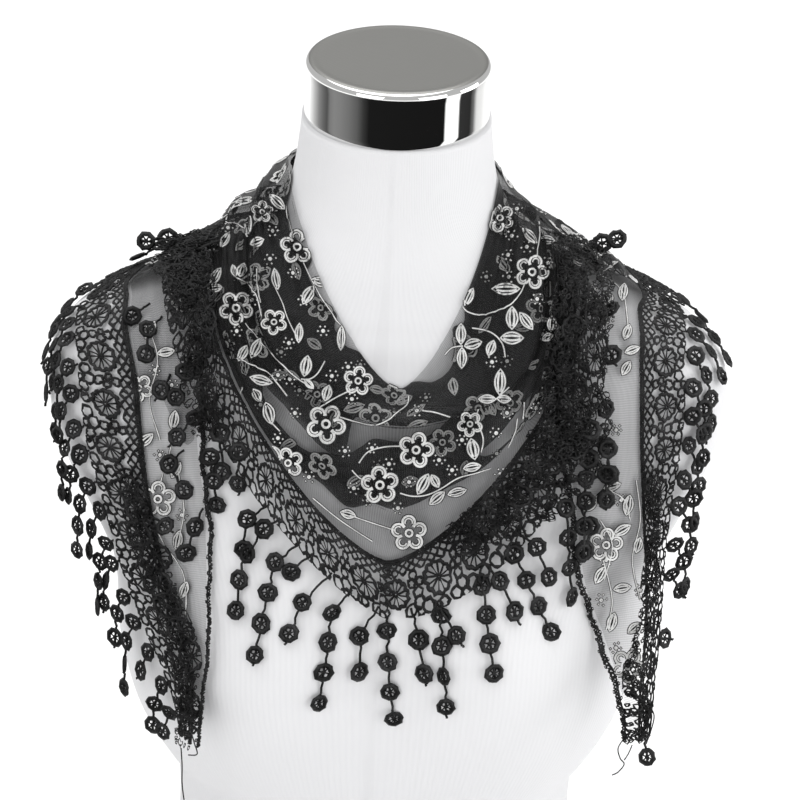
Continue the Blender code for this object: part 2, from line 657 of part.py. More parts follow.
fringe("wrap_under_fringe", end_lace(UNDER_END), 4.2, RIDGE_STATION - 0.03,
       (0, 2, 0, 2, 0, 2), 0.06, None, BACK_FRINGE_GAP)
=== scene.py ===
"""The looks of a lace-trimmed sheer triangle scarf, worn as a cowl on a limbless dress form.

Garment sizes are in millimetres until a mesh is made. +Z is up, the front faces -Y and +X is on
the right of someone who looks at the front. The origin is the centre of the form's underside.
"""
import math

import bpy
import numpy as np
from mathutils import Matrix, Vector
from mathutils.bvhtree import BVHTree


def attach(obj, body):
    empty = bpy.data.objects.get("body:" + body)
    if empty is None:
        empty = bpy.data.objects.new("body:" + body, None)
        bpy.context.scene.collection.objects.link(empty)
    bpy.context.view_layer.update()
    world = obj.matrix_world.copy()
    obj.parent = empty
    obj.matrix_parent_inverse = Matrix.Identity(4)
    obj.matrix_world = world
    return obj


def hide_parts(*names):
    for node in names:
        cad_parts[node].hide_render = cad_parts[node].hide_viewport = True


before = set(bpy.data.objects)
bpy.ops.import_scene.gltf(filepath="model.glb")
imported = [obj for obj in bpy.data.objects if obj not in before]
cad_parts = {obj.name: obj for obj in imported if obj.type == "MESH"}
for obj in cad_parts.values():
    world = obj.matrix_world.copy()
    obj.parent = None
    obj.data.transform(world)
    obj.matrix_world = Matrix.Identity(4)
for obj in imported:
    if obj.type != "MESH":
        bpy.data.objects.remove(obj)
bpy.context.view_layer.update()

# ------------------------------------------------------------------ dress form
# A smooth limbless torso of moulded foam. It wears a stretched white jersey with fine upright
# ribs, pulled tight over the bust and glued under the neck cap.
METRE = 0.001            # metres in a millimetre
FORM_SECTIONS = (        # height, half width, front depth, back depth
    (0, 126, 92, 88), (28, 121, 87, 82), (55, 120, 84, 78), (75, 121.5, 85, 78),
    (84, 127.5, 88, 79), (94, 134.5, 90, 80), (104, 140.5, 92, 82), (116, 146.5, 94, 83),
    (130, 151.5, 96, 85), (148, 156, 99, 87), (170, 159.5, 102, 90), (195, 160.5, 103, 92),
    (214, 163.5, 102, 94), (230, 170, 101, 95), (245, 177.5, 99, 96), (260, 185, 97, 97),
    (275, 192, 95, 97), (290, 197.5, 93, 97), (306, 201.5, 90, 96), (322, 203, 87, 94),
    (334, 202.5, 85, 92), (344, 200.5, 83, 90), (353, 196, 82, 88), (361, 190, 80, 87),
    (368, 182, 79, 86), (374, 172, 78, 84), (380, 158, 76, 83), (386, 143, 75, 81),
    (393, 127, 73, 79), (402, 110, 71, 76), (412, 95, 69, 72), (424, 81, 65, 67),
    (438, 67.5, 60, 61), (455, 60, 56, 57.5), (475, 57, 54, 55.5), (491, 55.5, 54, 54.5),
)
NECK_HEIGHT = 491.0
NECK_TILT = math.radians(6.0)
NECK_ROOT = 440.0
SECTION_SQUARENESS = 2.25
BUST_REACH = 30.0        # how far a mound stands out at its middle
BUST_SIDE = 70.0         # and how far that middle lies from the form's own
BUST_HEIGHT = 178.0
BUST_WIDTH = 42.0        # the mound's spread to each side, below and above
BUST_BELOW = 34.0
BUST_ABOVE = 48.0
BUST_FADE = 6.0          # it fades over one part in this before the form's outline
BASE_EDGE = ((0, 2.5), (0.3, 1.3), (0.9, 0.5), (2.5, 0))    # height, inset of the soft lower edge
FIRST_LEVEL = 6.0        # the first plain level above that edge
RIB_PITCH = 3.8
FORM_GIRTH = 1.05        # metres of jersey round the form
JERSEY_WHITE = (0.69, 0.69, 0.70)
JERSEY_SHADE = (0.62, 0.62, 0.645)


def read_smooth(query, places, values):
    """Read a smooth curve, with no overshoot, through values given at rising places."""
    places, values = np.asarray(places, float), np.asarray(values, float)
    query = np.clip(np.asarray(query, float), places[0], places[-1])
    i = np.clip(np.searchsorted(places, query, side="right") - 1, 0, len(places) - 2)
    spans = np.diff(places)
    slopes = np.diff(values, axis=0) / spans.reshape((-1,) + (1,) * (values.ndim - 1))
    before, after = slopes[:-1], slopes[1:]
    agree = before * after > 0
    middle = np.where(agree, 2 * before * after / np.where(agree, before + after, 1), 0)
    tangents = np.concatenate([slopes[:1], middle, slopes[-1:]])
    trail = (1,) * (values.ndim - 1)
    width = spans[i].reshape(query.shape + trail)
    t = (query - places[i]).reshape(query.shape + trail) / width
    return ((1 + 2 * t) * (1 - t) ** 2 * values[i] + t * (1 - t) ** 2 * width * tangents[i]
            + t * t * (3 - 2 * t) * values[i + 1] + t * t * (t - 1) * width * tangents[i + 1])


HEIGHTS, HALF_WIDTHS, FRONTS, BACKS = (np.array(column, float) for column in zip(*FORM_SECTIONS))


def half_width(z):
    return read_smooth(z, HEIGHTS, HALF_WIDTHS)


def bust(x, z, width):
    """How far a bust mound stands out of the level section."""
    spread = np.where(z < BUST_HEIGHT, BUST_BELOW, BUST_ABOVE)
    across = (np.abs(x) - BUST_SIDE) / BUST_WIDTH
    fade = np.clip((1 - np.abs(x) / width) * BUST_FADE, 0, 1)
    return BUST_REACH * np.exp(-0.5 * across ** 2 - 0.5 * ((z - BUST_HEIGHT) / spread) ** 2) * fade


def front_depth(x, z):
    """How far the form's front stands forward of its middle plane."""
    width = half_width(z)
    share = np.clip(1 - np.minimum(np.abs(x) / width, 1) ** SECTION_SQUARENESS, 0, 1)
    return (read_smooth(z, HEIGHTS, FRONTS) * share ** (1 / SECTION_SQUARENESS)
            + bust(x, z, width))


def form_rings(heights, count):
    """Level rings of the form, leaning forward with the neck's top, as rows of points."""
    z = np.asarray(heights, float)[:, None]
    turn = np.linspace(0, 2 * math.pi, count, endpoint=False)[None, :]
    side, ahead = np.sin(turn), np.cos(turn)
    lean = math.tan(NECK_TILT) * np.clip((z - NECK_ROOT) / (NECK_HEIGHT - NECK_ROOT), 0, 1)
    width, front, back = (read_smooth(z, HEIGHTS, column)
                          for column in (HALF_WIDTHS, FRONTS, BACKS))
    x = width * np.sign(side) * np.abs(side) ** (2 / SECTION_SQUARENESS)
    depth = np.abs(ahead) ** (2 / SECTION_SQUARENESS)
    y = np.where(ahead >= 0, -front * depth - bust(x, z, width), back * depth)
    return np.stack([x, y, z + lean * y], axis=2)


def grid_faces(rows, columns, closed=False):
    """The four-sided faces of a grid of points; a closed grid joins its last column to its first."""
    i, j = np.meshgrid(np.arange(rows - 1), np.arange(columns - (not closed)), indexing="ij")
    ahead = (j + 1) % columns
    return np.stack([i * columns + j, i * columns + ahead,
                     (i + 1) * columns + ahead, (i + 1) * columns + j], axis=2).reshape(-1, 4)


def capped_faces(rings, count):
    """The faces of a stack of rings that is closed at both ends."""
    faces = grid_faces(rings, count, closed=True).tolist()
    return faces + [list(range(count))[::-1], list(range((rings - 1) * count, rings * count))]


def make_piece(name, points, faces, material, spread=None):
    """One smooth mesh from millimetre points; spread is its cloth map, a pair of metres a point."""
    mesh = bpy.data.meshes.new(name)
    mesh.from_pydata((np.asarray(points, float).reshape(-1, 3) * METRE).tolist(), [],
                     [tuple(int(i) for i in face) for face in faces])
    mesh.materials.append(material)
    if spread is not None:
        corners = np.zeros(len(mesh.loops), np.int32)
        mesh.loops.foreach_get("vertex_index", corners)
        layer = mesh.uv_layers.new(name="cloth_map")
        layer.data.foreach_set("uv", np.asarray(spread, np.float32).reshape(-1, 2)[corners].ravel())
    mesh.shade_smooth()
    piece = bpy.data.objects.new(name, mesh)
    bpy.context.scene.collection.objects.link(piece)
    return piece


def start_material(name):
    made = bpy.data.materials.new(name)
    made.use_nodes = True
    return made, made.node_tree, made.node_tree.nodes["Principled BSDF"]


def set_inputs(tree, node, inputs):
    """Set a node's inputs to plain values, or link them to other nodes' sockets."""
    for key, value in dict(inputs).items():
        if isinstance(value, bpy.types.NodeSocket):
            tree.links.new(value, node.inputs[key])
        else:
            node.inputs[key].default_value = value


def add_node(tree, kind, inputs=(), **settings):
    """A node with its settings made and its inputs set or linked."""
    node = tree.nodes.new(kind)
    for key, value in settings.items():
        setattr(node, key, value)
    set_inputs(tree, node, inputs)
    return node


def cloth_place(tree):
    return add_node(tree, "ShaderNodeUVMap", uv_map="cloth_map").outputs["UV"]


def noise(tree, place, scale, detail):
    return add_node(tree, "ShaderNodeTexNoise",
                    {"Vector": place, "Scale": scale, "Detail": detail}).outputs["Fac"]


def ribs(tree, place, pitch, distortion):
    """Ribs across the cloth map's X; at a scale of 1 a band wave repeats every pi / 10."""
    return add_node(tree, "ShaderNodeTexWave",
                    {"Vector": place, "Scale": math.pi / 10 / (pitch * METRE),
                     "Distortion": distortion, "Detail": 1.0}, bands_direction="X").outputs["Fac"]


def combine(tree, first, second, operation="MULTIPLY"):
    return add_node(tree, "ShaderNodeMath", {0: first, 1: second}, operation=operation).outputs[0]


def blend(tree, share, first, second):
    return add_node(tree, "ShaderNodeMix", {"Factor": share, "A": (*first, 1), "B": (*second, 1)},
                    data_type="RGBA").outputs["Result"]


def bump(tree, height, strength, distance):
    return add_node(tree, "ShaderNodeBump", {"Height": height, "Strength": strength,
                                             "Distance": distance}).outputs["Normal"]


def jersey_material():
    """Ribbed white jersey: fine upright ribs, a soft nap and a faint cool unevenness."""
    made, tree, shader = start_material("white_jersey")
    place = cloth_place(tree)
    rib = ribs(tree, place, RIB_PITCH, 0.4)
    cloud = noise(tree, place, 9.0, 3.0)
    shade = combine(tree, cloud, combine(tree, rib, 0.35))
    set_inputs(tree, shader, {"Base Color": blend(tree, shade, JERSEY_WHITE, JERSEY_SHADE),
                              "Normal": bump(tree, rib, 0.25, 0.0003), "Roughness": 0.9,
                              "Sheen Weight": 0.25, "Sheen Roughness": 0.5})
    return made


def make_form(levels=150, count=192):
    """The torso's skin, closed by its flat base and the neck's top, with a softened lower edge."""
    edge, insets = np.array(BASE_EDGE, float).T
    heights = np.concatenate([edge, np.linspace(FIRST_LEVEL, NECK_HEIGHT, levels)])
    rings = form_rings(heights, count)
    for row, inset in enumerate(insets):
        reach = np.linalg.norm(rings[row, :, :2], axis=1, keepdims=True)
        rings[row, :, :2] *= 1 - inset / reach
    turn = np.linspace(0, 1, count, endpoint=False) * FORM_GIRTH
    spread = np.stack(np.meshgrid(turn, heights * METRE), axis=2)
    return make_piece("dress_form_jersey", rings, capped_faces(len(heights), count),
                      jersey_material(), spread)


dress_form = make_form()
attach(dress_form, "root")
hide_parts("dress_form")

# ------------------------------------------------------------------ neck cap
# A spun metal cap pressed over the neck's top: mirror-polished side wall, and a satin top face
# turned on a lathe, with a bright rolled rim between the two.
CAP_RADIUS = 54.5
CAP_HEIGHT = 35.0
CAP_ROUND = 4.6
CAP_FOOT = ((1.2, 0.0), (0.3, 0.25), (0.0, 1.1))    # inset, height of the wall's soft lower edge
CAP_WALL = 4.0           # the plain wall starts at this height
CAP_SEAT = 0.35          # clear space under the cap
CAP_DISH = 0.25          # the top face lies this far below the rim
CAP_INNER = (46, 40, 30, 20, 10, 2)     # radii of the rings in the top face
CAP_CREASE = math.radians(50)
LATHE_LINES = (30, 30, 900)
LATHE_MIDDLE = (0, 0.055, 0)
CHROME = (0.93, 0.93, 0.92, 1)
SATIN_DARK = (0.295, 0.293, 0.28)
SATIN_PALE = (0.33, 0.328, 0.315)


def object_place(tree):
    return add_node(tree, "ShaderNodeTexCoord").outputs["Object"]


def remap(tree, value, low, high, start=0.0, end=1.0):
    """A value from start to end, read again as one from low to high."""
    return add_node(tree, "ShaderNodeMapRange",
                    {"Value": value, "From Min": start, "From Max": end,
                     "To Min": low, "To Max": high}).outputs["Result"]


def chrome_material():
    """Polished steel with faint lathe lines round the wall."""
    made, tree, shader = start_material("polished_chrome")
    smear = add_node(tree, "ShaderNodeMapping", {"Vector": object_place(tree), "Scale": LATHE_LINES})
    haze = noise(tree, smear.outputs["Vector"], 1.0, 2.0)
    set_inputs(tree, shader, {"Base Color": CHROME, "Metallic": 1.0,
                              "Roughness": remap(tree, haze, 0.02, 0.05)})
    return made


def satin_material():
    """The cap's brushed top face: grey metal with fine turned rings."""
    made, tree, shader = start_material("satin_steel")
    place = object_place(tree)
    centre = add_node(tree, "ShaderNodeMapping", {"Vector": place, "Location": LATHE_MIDDLE})
    turned = add_node(tree, "ShaderNodeTexWave", {"Vector": centre.outputs["Vector"],
                                                  "Scale": 170.0, "Distortion": 2.5},
                      wave_type="RINGS", rings_direction="Z")
    cloud = noise(tree, place, 14.0, 4.0)
    mixed = combine(tree, turned.outputs["Fac"], cloud)
    set_inputs(tree, shader, {"Base Color": blend(tree, mixed, SATIN_DARK, SATIN_PALE),
                              "Metallic": 1.0, "Roughness": 0.42})
    return made


def make_cap(count=128):
    """The cap as one turned profile, tilted with the neck."""
    profile = [(CAP_RADIUS - inset, height) for inset, height in CAP_FOOT]
    profile += [(CAP_RADIUS, height) for height in np.linspace(CAP_WALL, CAP_HEIGHT - CAP_ROUND, 8)]
    for turn in np.linspace(0, math.pi / 2, 9)[1:]:
        profile.append((CAP_RADIUS - CAP_ROUND * (1 - math.cos(turn)),
                        CAP_HEIGHT - CAP_ROUND * (1 - math.sin(turn))))
    wall_rows = len(profile) - 3     # the satin face takes in the top of the rounding
    profile += [(CAP_RADIUS - CAP_ROUND - 1.5, CAP_HEIGHT - CAP_DISH)]
    profile += [(radius, CAP_HEIGHT - CAP_DISH) for radius in CAP_INNER]
    turn = np.linspace(0, 2 * math.pi, count, endpoint=False)
    rings = []
    for radius, height in profile:
        x, y, z = radius * np.sin(turn), -radius * np.cos(turn), height + CAP_SEAT
        rings.append(np.stack([x, y * math.cos(NECK_TILT) - z * math.sin(NECK_TILT),
                               NECK_HEIGHT + z * math.cos(NECK_TILT) + y * math.sin(NECK_TILT)],
                              axis=1))
    faces = capped_faces(len(profile), count)
    cap = make_piece("neck_cap_metal", rings, faces, chrome_material())
    cap.data.materials.append(satin_material())
    for index, face in enumerate(cap.data.polygons):
        if index >= (wall_rows - 1) * count and index != len(faces) - 2:
            face.material_index = 1
    cap.data.set_sharp_from_angle(angle=CAP_CREASE)
    return cap


neck_cap = make_cap()
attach(neck_cap, "root")
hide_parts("neck_cap")

# ------------------------------------------------------------------ camera
# The photograph looks down a little on the form from straight ahead, through a long lens. The
# picture is turned two degrees.
PICTURE = 800            # pixels across and down
LENS = 195.0
SENSOR = 36.0
AIM = Vector((0.0077, 0.0, 0.312))
DISTANCE = 2.6
LOOK_DOWN = math.radians(21)
ROLL = math.radians(2)
CAMERA_CLIP = 40.0
SIGHT_REACH = 6000.0     # sight lines are cast this far, in millimetres

camera_data = bpy.data.cameras.new("camera")
camera_data.lens = LENS
camera_data.sensor_width = SENSOR
camera_data.clip_end = CAMERA_CLIP
camera = bpy.data.objects.new("camera", camera_data)
bpy.context.scene.collection.objects.link(camera)
CAMERA_TURN = Matrix.Rotation(math.pi / 2 - LOOK_DOWN, 4, "X") @ Matrix.Rotation(ROLL, 4, "Z")
EYE = AIM + Vector((0, -math.cos(LOOK_DOWN), math.sin(LOOK_DOWN))) * DISTANCE
EYE_POINT = EYE / METRE  # the same in millimetres
camera.matrix_world = Matrix.Translation(EYE) @ CAMERA_TURN
bpy.context.scene.camera = camera


def sight_line(pixel_x, pixel_y):
    """The direction from the camera through a pixel of the photograph."""
    reach = SENSOR / LENS / PICTURE
    return (CAMERA_TURN.to_3x3() @ Vector(((pixel_x - PICTURE / 2) * reach,
                                           (PICTURE / 2 - pixel_y) * reach, -1))).normalized()


# ------------------------------------------------------------------ front drape
# The front of the triangle in sheer black net, worn point down. It hangs in two soft rolls from
# the shoulders, so most of it is two or three layers deep and looks black. Where it is a single
# layer, along the seam and in two windows, the white form shows through it.
FOLD_COLUMNS = ("name", "low_x", "low_z", "left_ridge", "left_bow", "left_flare",
                "right_ridge", "right_bow", "right_flare",
                "lift_low", "lift_side", "lift_left", "lift_right")
FOLDS = (
    ("inner hem", 8, 351, -59.5, 1.95, -15, 60, 1.55, -5, 3, 3, 3, 3),
    ("neckline crest", 8, 341, -63.5, 1.35, -2, 63.5, 1.60, 2, 16, 8, 5, 5),
    ("upper roll crest", 7, 337, -68, 1.45, 7, 68, 1.55, 8, 26, 14, 11, 9),
    ("upper roll edge", 7, 332, -72, 1.75, 16, 74, 1.90, 23, 24, 13, 13, 11),
    ("upper roll tuck", 7, 331, -76, 1.75, 15, 79, 1.90, 20.5, 15, 9.5, 9, 9),
    ("lower roll crest", 6, 307, -85, 1.45, 14, 84, 1.50, 21, 20, 12, 13, 11),
    ("lower roll edge", 10, 282, -92, 1.15, 24, 90, 1.50, 17, 16, 10.5, 11, 11),
    ("lower roll tuck", 9, 280, -98, 1.20, 20, 95, 1.50, 15.5, 10, 8.5, 10, 9),
    ("seam", 3, 251, -104.5, 1.30, 6, 101, 1.10, 26, 3, 7.5, 9, 10),
    ("lace edge", 6, 217, -132, 1.45, -8, 110, 1.30, 36, 3, 8.5, 9, 10),
)
SEAM_ROW = 8
LACE_ROW = 9
DRAPE_END = 0.996
# The listed creases: from (across, down) to (across, down), how deep, and how wide in folds.
DRAPE_CREASES = (
    (-0.95, 1.6, -0.20, 2.3, -1.8, 0.22), (-0.98, 3.6, -0.45, 4.6, -2.2, 0.25),
    (-0.90, 4.7, -0.15, 5.3, 1.6, 0.30), (-0.96, 5.8, -0.55, 5.4, -1.6, 0.22),
    (-0.93, 6.9, -0.50, 7.3, -1.3, 0.25), (-0.75, 2.5, -0.30, 3.0, 1.4, 0.22),
    (0.97, 1.5, 0.25, 2.2, -1.8, 0.22), (0.95, 2.6, 0.50, 2.4, 1.3, 0.20),
    (0.98, 3.7, 0.35, 4.7, -2.2, 0.26), (0.92, 4.9, 0.20, 5.2, 1.5, 0.28),
    (0.96, 6.0, 0.45, 5.3, -1.7, 0.24), (0.94, 6.8, 0.55, 7.4, -1.2, 0.24),
    (-0.30, 4.9, 0.35, 4.6, -1.5, 0.25), (-0.20, 7.6, 0.10, 6.9, 1.0, 0.30),
    (0.10, 7.7, 0.40, 7.2, -0.9, 0.25),
)
GATHER_DEPTH = 2.0       # small gathers near the shoulders
GATHER_START = 0.42
CREASE_SCALE = 8.0       # fold widths from the middle to one ridge
CREASE_FADE = 6.0        # a crease runs out over one part in this of its length
LEAST_LIFT = 1.2         # the cloth's least distance from the form
RIDGE_FADE = 12.0        # creases run out over one part in this before the ridge
SHOULDER_LOW = 330.0     # all ridges of the cloth lie above this height
SIDE_LIMIT = 0.9995      # the front ends at this share of the form's half width
SKIN_LEVELS, SKIN_COUNT = 141, 120
TOO_NEAR = 1.0           # nearer the form than this, the form's own normal is used

SKIN_RINGS = form_rings(np.linspace(0, NECK_HEIGHT, SKIN_LEVELS), SKIN_COUNT)
SKIN = BVHTree.FromPolygons([tuple(point) for point in SKIN_RINGS.reshape(-1, 3)],
                            grid_faces(SKIN_LEVELS, SKIN_COUNT, closed=True).tolist())


def over_form(point, lift, hug):
    """Set a point off the form: exactly at lift where hug is 1, at least that where it is 0."""
    point = Vector(point)
    foot, face_normal, _, distance = SKIN.find_nearest(point)
    outside = (point - foot).dot(face_normal) > 0
    away = (point - foot).normalized() if outside and distance > TOO_NEAR else face_normal
    reach = distance if outside else -distance
    free = point if reach >= lift else foot + away * lift
    return free.lerp(foot + away * lift, hug)


def ridge_height(x):
    """The height at which the form's outline, seen from the front, is |x| wide."""
    low, high = SHOULDER_LOW, NECK_HEIGHT
    for halving in range(40):
        middle = 0.5 * (low + high)
        if half_width(middle) > abs(x):
            low = middle
        else:
            high = middle
    return low


def fold_line(fold, across):
    """x, z and lift along a fold line; across runs from -1 on the left ridge to 1 on the right."""
    row = dict(zip(FOLD_COLUMNS, fold))
    across = np.asarray(across, float)
    turn = np.abs(across) * math.pi / 2

    def side_line(side):
        ridge_x, power = row[side + "_ridge"], 2 / row[side + "_bow"]
        x = row["low_x"] + (ridge_x - row["low_x"]) * np.sin(turn) ** power
        x = x + math.copysign(1, ridge_x) * row[side + "_flare"] * np.sin(2 * turn)
        rise = 1 - np.maximum(np.cos(turn), 0) ** power
        z = row["low_z"] + (ridge_height(ridge_x) - row["low_z"]) * rise
        lift = read_smooth(np.abs(across), (0, 0.5, 1),
                           (row["lift_low"], row["lift_side"], row["lift_" + side]))
        return np.stack([x, z, lift], axis=-1)

    return np.where(across[..., None] < 0, side_line("left"), side_line("right"))


def on_front(lines):
    """Points on the front of the form from rows of x, z and lift."""
    x, z, lift = lines[..., 0], lines[..., 1], lines[..., 2]
    x = np.sign(x) * np.minimum(np.abs(x), half_width(z) * SIDE_LIMIT)
    start = np.stack([x, -front_depth(x, z), z], axis=-1)
    placed = [over_form(point, reach, 1)
              for point, reach in zip(start.reshape(-1, 3), lift.ravel())]
    return np.array(placed).reshape(start.shape)


def crease_depth(across, down):
    """The listed creases and the shoulder gathers, as an extra lift."""
    depth = np.zeros(np.broadcast(across, down).shape)
    for a0, d0, a1, d1, deep, wide in DRAPE_CREASES:
        run = np.array([(a1 - a0) * CREASE_SCALE, d1 - d0])
        gone_a, gone_d = (across - a0) * CREASE_SCALE, down - d0
        share = (gone_a * run[0] + gone_d * run[1]) / run.dot(run)
        off = (gone_d * run[0] - gone_a * run[1]) / math.hypot(*run)
        window = np.clip(share * CREASE_FADE, 0, 1) * np.clip((1 - share) * CREASE_FADE, 0, 1)
        window = window * window * (3 - 2 * window)
        depth += deep * window * np.exp(-0.5 * (off / wide) ** 2)
    ramp = np.clip((np.abs(across) - GATHER_START) / (1 - GATHER_START), 0, 1)
    wander = 1.4 * np.sin(5 * across + 1) + 0.8 * np.sin(11 * across)
    gathers = (np.sin(2 * math.pi * 2.3 * down + wander)
               + 0.6 * np.sin(2 * math.pi * 3.9 * down - 1.7 * wander))
    return depth + GATHER_DEPTH * ramp * gathers


def drape_grid(across, downs, lift_share=1.0, creased=1.0, below=0.0):
    """The front drape as a grid; downs has one row of fold counts for each grid row."""
    lines = np.stack([fold_line(fold, across) for fold in FOLDS[:SEAM_ROW + 1]])
    rows = []
    for column, spot in enumerate(across):
        line = read_smooth(downs[:, column], np.arange(SEAM_ROW + 1), lines[:, column])
        edge = np.clip(np.minimum(downs[:, column], SEAM_ROW - downs[:, column]) * 2, 0, 1)
        edge = edge * min(1, (1 - abs(spot)) * RIDGE_FADE)
        line[:, 2] = (line[:, 2] * lift_share - below
                      + creased * edge * crease_depth(spot, downs[:, column]))
        line[:, 2] = np.maximum(line[:, 2], LEAST_LIFT)
        rows.append(line)
    return on_front(np.stack(rows, axis=1))


def distance_along(points):
    """How far each point of a line lies from its first, measured along the line."""
    steps = np.linalg.norm(np.diff(points, axis=0), axis=-1)
    return np.concatenate([[0], np.cumsum(steps)])


def even_columns(line, count):
    """Places along a finely sampled line that are evenly far apart, as counts of its samples."""
    walked = distance_along(line)
    return np.interp(np.linspace(0, walked[-1], count), walked, np.arange(len(line)))


def cloth_spread(grid):
    """The cloth map of a grid of points, in metres along it and down it."""
    along = np.linalg.norm(np.diff(grid, axis=1), axis=2).mean(axis=0)
    down = np.linalg.norm(np.diff(grid, axis=0), axis=2).mean(axis=1)
    u = np.concatenate([[0], np.cumsum(along)]) * METRE
    v = np.concatenate([[0], np.cumsum(down)]) * METRE
    return np.stack(np.meshgrid(u, v), axis=2)


def unit(vectors):
    return vectors / np.maximum(np.linalg.norm(vectors, axis=-1, keepdims=True), 1e-9)


def grid_normals(grid):
    """A grid's unit normals, and whether they face away from the form's upright axis."""
    normals = unit(np.cross(np.gradient(grid, axis=1), np.gradient(grid, axis=0)))
    return normals, (normals * grid * (1, 1, 0)).sum() > 0


def outward_faces(grid):
    """A grid's faces, turned so that they face away from the form's upright axis."""
    faces = grid_faces(*grid.shape[:2])
    return faces if grid_normals(grid)[1] else faces[:, ::-1]


def cloth_sheet(name, grid, material):
    """A sheet of cloth from a grid of points, with its cloth map."""
    return make_piece(name, grid, outward_faces(grid), material, cloth_spread(grid))


THREAD_PITCH = 1.35      # the net's ribs
FOLD_STREAKS = (11, 95, 1)   # streaks along the folds: uneven net plus painted fold light and shade
NET_BLACK = (0.005, 0.005, 0.0055)
NET_GREY = (0.020, 0.020, 0.020)
GATHER_RUN = 0.035       # the gathers of an end run out over this length, in metres


def net_material(name, cover, rib_cover, cloud_cover, gathered=0.0):
    """Sheer black net: fine ribs down the cloth with gaps between, and a soft cool sheen.

    Gathered adds cover over the cloth's first few centimetres, where it comes out of its gathers.
    """
    made, tree, shader = start_material(name)
    place = cloth_place(tree)
    rib = ribs(tree, place, THREAD_PITCH, 0.5)
    # Painted light and shade of the folds, partly the net's own unevenness: the cover varies in streaks
    # along them.
    folds = add_node(tree, "ShaderNodeMapping", {"Vector": place, "Scale": FOLD_STREAKS})
    cloud = noise(tree, folds.outputs["Vector"], 1.0, 4.0)
    woven = remap(tree, rib, cover - rib_cover, cover + rib_cover)
    uneven = remap(tree, cloud, -cloud_cover, cloud_cover, 0.3, 0.7)
    alpha = combine(tree, woven, uneven, "ADD")
    if gathered:
        along = add_node(tree, "ShaderNodeSeparateXYZ", {"Vector": place}).outputs["X"]
        closer = remap(tree, along, gathered, 0.0, 0.0, GATHER_RUN)
        alpha = combine(tree, alpha, closer, "ADD")
    set_inputs(tree, shader, {"Alpha": alpha, "Base Color": blend(tree, rib, NET_BLACK, NET_GREY),
                              "Normal": bump(tree, rib, 0.3, 0.0002), "Roughness": 0.52,
                              "Specular IOR Level": 0.16, "Sheen Weight": 0.05,
                              "Sheen Roughness": 0.4})
    return made


sheer_net = net_material("sheer_black_net", cover=0.385, rib_cover=0.09, cloud_cover=0.05)
inner_net = net_material("inner_black_net", cover=0.86, rib_cover=0.05, cloud_cover=0.13)

DRAPE_COLUMNS = 181
DRAPE_STEPS = 18         # grid rows from one fold line to the next
DRAPE_SAMPLES = 721
MIDDLE_FOLD = 5.0        # the grid's columns are even along this fold line


def drape_across(count):
    """Places across the drape that are evenly far apart along its middle fold line."""
    fine = np.linspace(-DRAPE_END, DRAPE_END, DRAPE_SAMPLES)
    lines = np.stack([fold_line(fold, fine) for fold in FOLDS[:SEAM_ROW + 1]])
    line = read_smooth(np.array([MIDDLE_FOLD]), np.arange(SEAM_ROW + 1), lines)[0]
    points = np.stack([line[:, 0], -front_depth(line[:, 0], line[:, 1]), line[:, 1]], axis=1)
    return np.interp(even_columns(points, count), np.arange(DRAPE_SAMPLES), fine)


drape_places = drape_across(DRAPE_COLUMNS)
drape_downs = np.repeat(np.linspace(0, SEAM_ROW, SEAM_ROW * DRAPE_STEPS + 1)[:, None],
                        DRAPE_COLUMNS, axis=1)
drape_points = drape_grid(drape_places, drape_downs)
front_drape = cloth_sheet("front_drape_net", drape_points, sheer_net)
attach(front_drape, "root")
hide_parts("front_drape")

# The two inner turns of the rolled cloth, which lie close under the outer one. Where neither
# reaches, the cloth is single and the form shows: two windows, and the strip along the seam.
# Each row: place across, where the turn starts and where it ends, in fold counts.
UPPER_TURN = ((-1, 0.0, 5.5), (-0.89, 1.0, 5.5), (-0.83, 1.0, 5.5), (-0.77, 0.1, 5.5),
              (-0.69, 0.8, 5.5), (-0.62, 0.8, 5.5), (-0.57, 0.1, 5.5), (-0.50, 0.8, 5.4), (-0.44, 0.8, 5.3),
              (-0.39, 0.0, 5.3), (-0.31, 0.0, 5.4), (-0.24, 0.0, 5.3), (-0.17, 0.0, 4.2),
              (-0.10, 0.0, 3.4), (0.14, 0.0, 3.3), (0.20, 0.2, 3.6), (0.28, 0.7, 5.3), (0.36, 0.9, 5.4),
              (0.44, 0.7, 5.4), (0.49, 0.1, 5.4), (0.54, 0.4, 5.5), (0.60, 0.0, 5.6), (1, 0.0, 5.6))
LOWER_TURN = ((-1, 5.3, 7.95), (-0.55, 5.3, 7.95), (-0.49, 6.3, 7.9), (-0.45, 6.8, 7.8),
              (-0.38, 6.85, 7.65), (-0.335, 5.9, 7.5), (-0.30, 5.5, 7.45), (-0.23, 5.2, 7.5),
              (-0.15, 4.75, 7.2), (-0.09, 4.5, 6.5), (0, 4.5, 5.9), (0.11, 4.45, 5.75),
              (0.155, 4.3, 5.7), (0.20, 3.5, 5.7), (0.29, 5.2, 5.8), (0.36, 5.65, 5.95),
              (0.44, 5.9, 6.2), (0.50, 6.2, 6.6), (0.56, 5.6, 7.4), (0.65, 5.4, 7.9), (1, 5.4, 7.95))
TURN_DEPTH = 3.0         # how far an inner turn lies under the outer cloth
TURN_LIFT = 0.8          # its own share of the folds' lift
TURN_CREASES = 0.5       # its own share of the creases
turn_points = {}


def make_turn(name, table, rows=60):
    spots, starts, ends = (np.array(column, float) for column in zip(*table))
    start = read_smooth(drape_places, spots, starts)
    end = read_smooth(drape_places, spots, ends)
    share = np.linspace(0, 1, rows)[:, None]
    points = drape_grid(drape_places, start + (end - start) * share, TURN_LIFT, TURN_CREASES,
                        TURN_DEPTH)
    turn = cloth_sheet("front_drape_" + name, points, inner_net)
    turn_points[name] = points
    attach(turn, "root")
    return turn


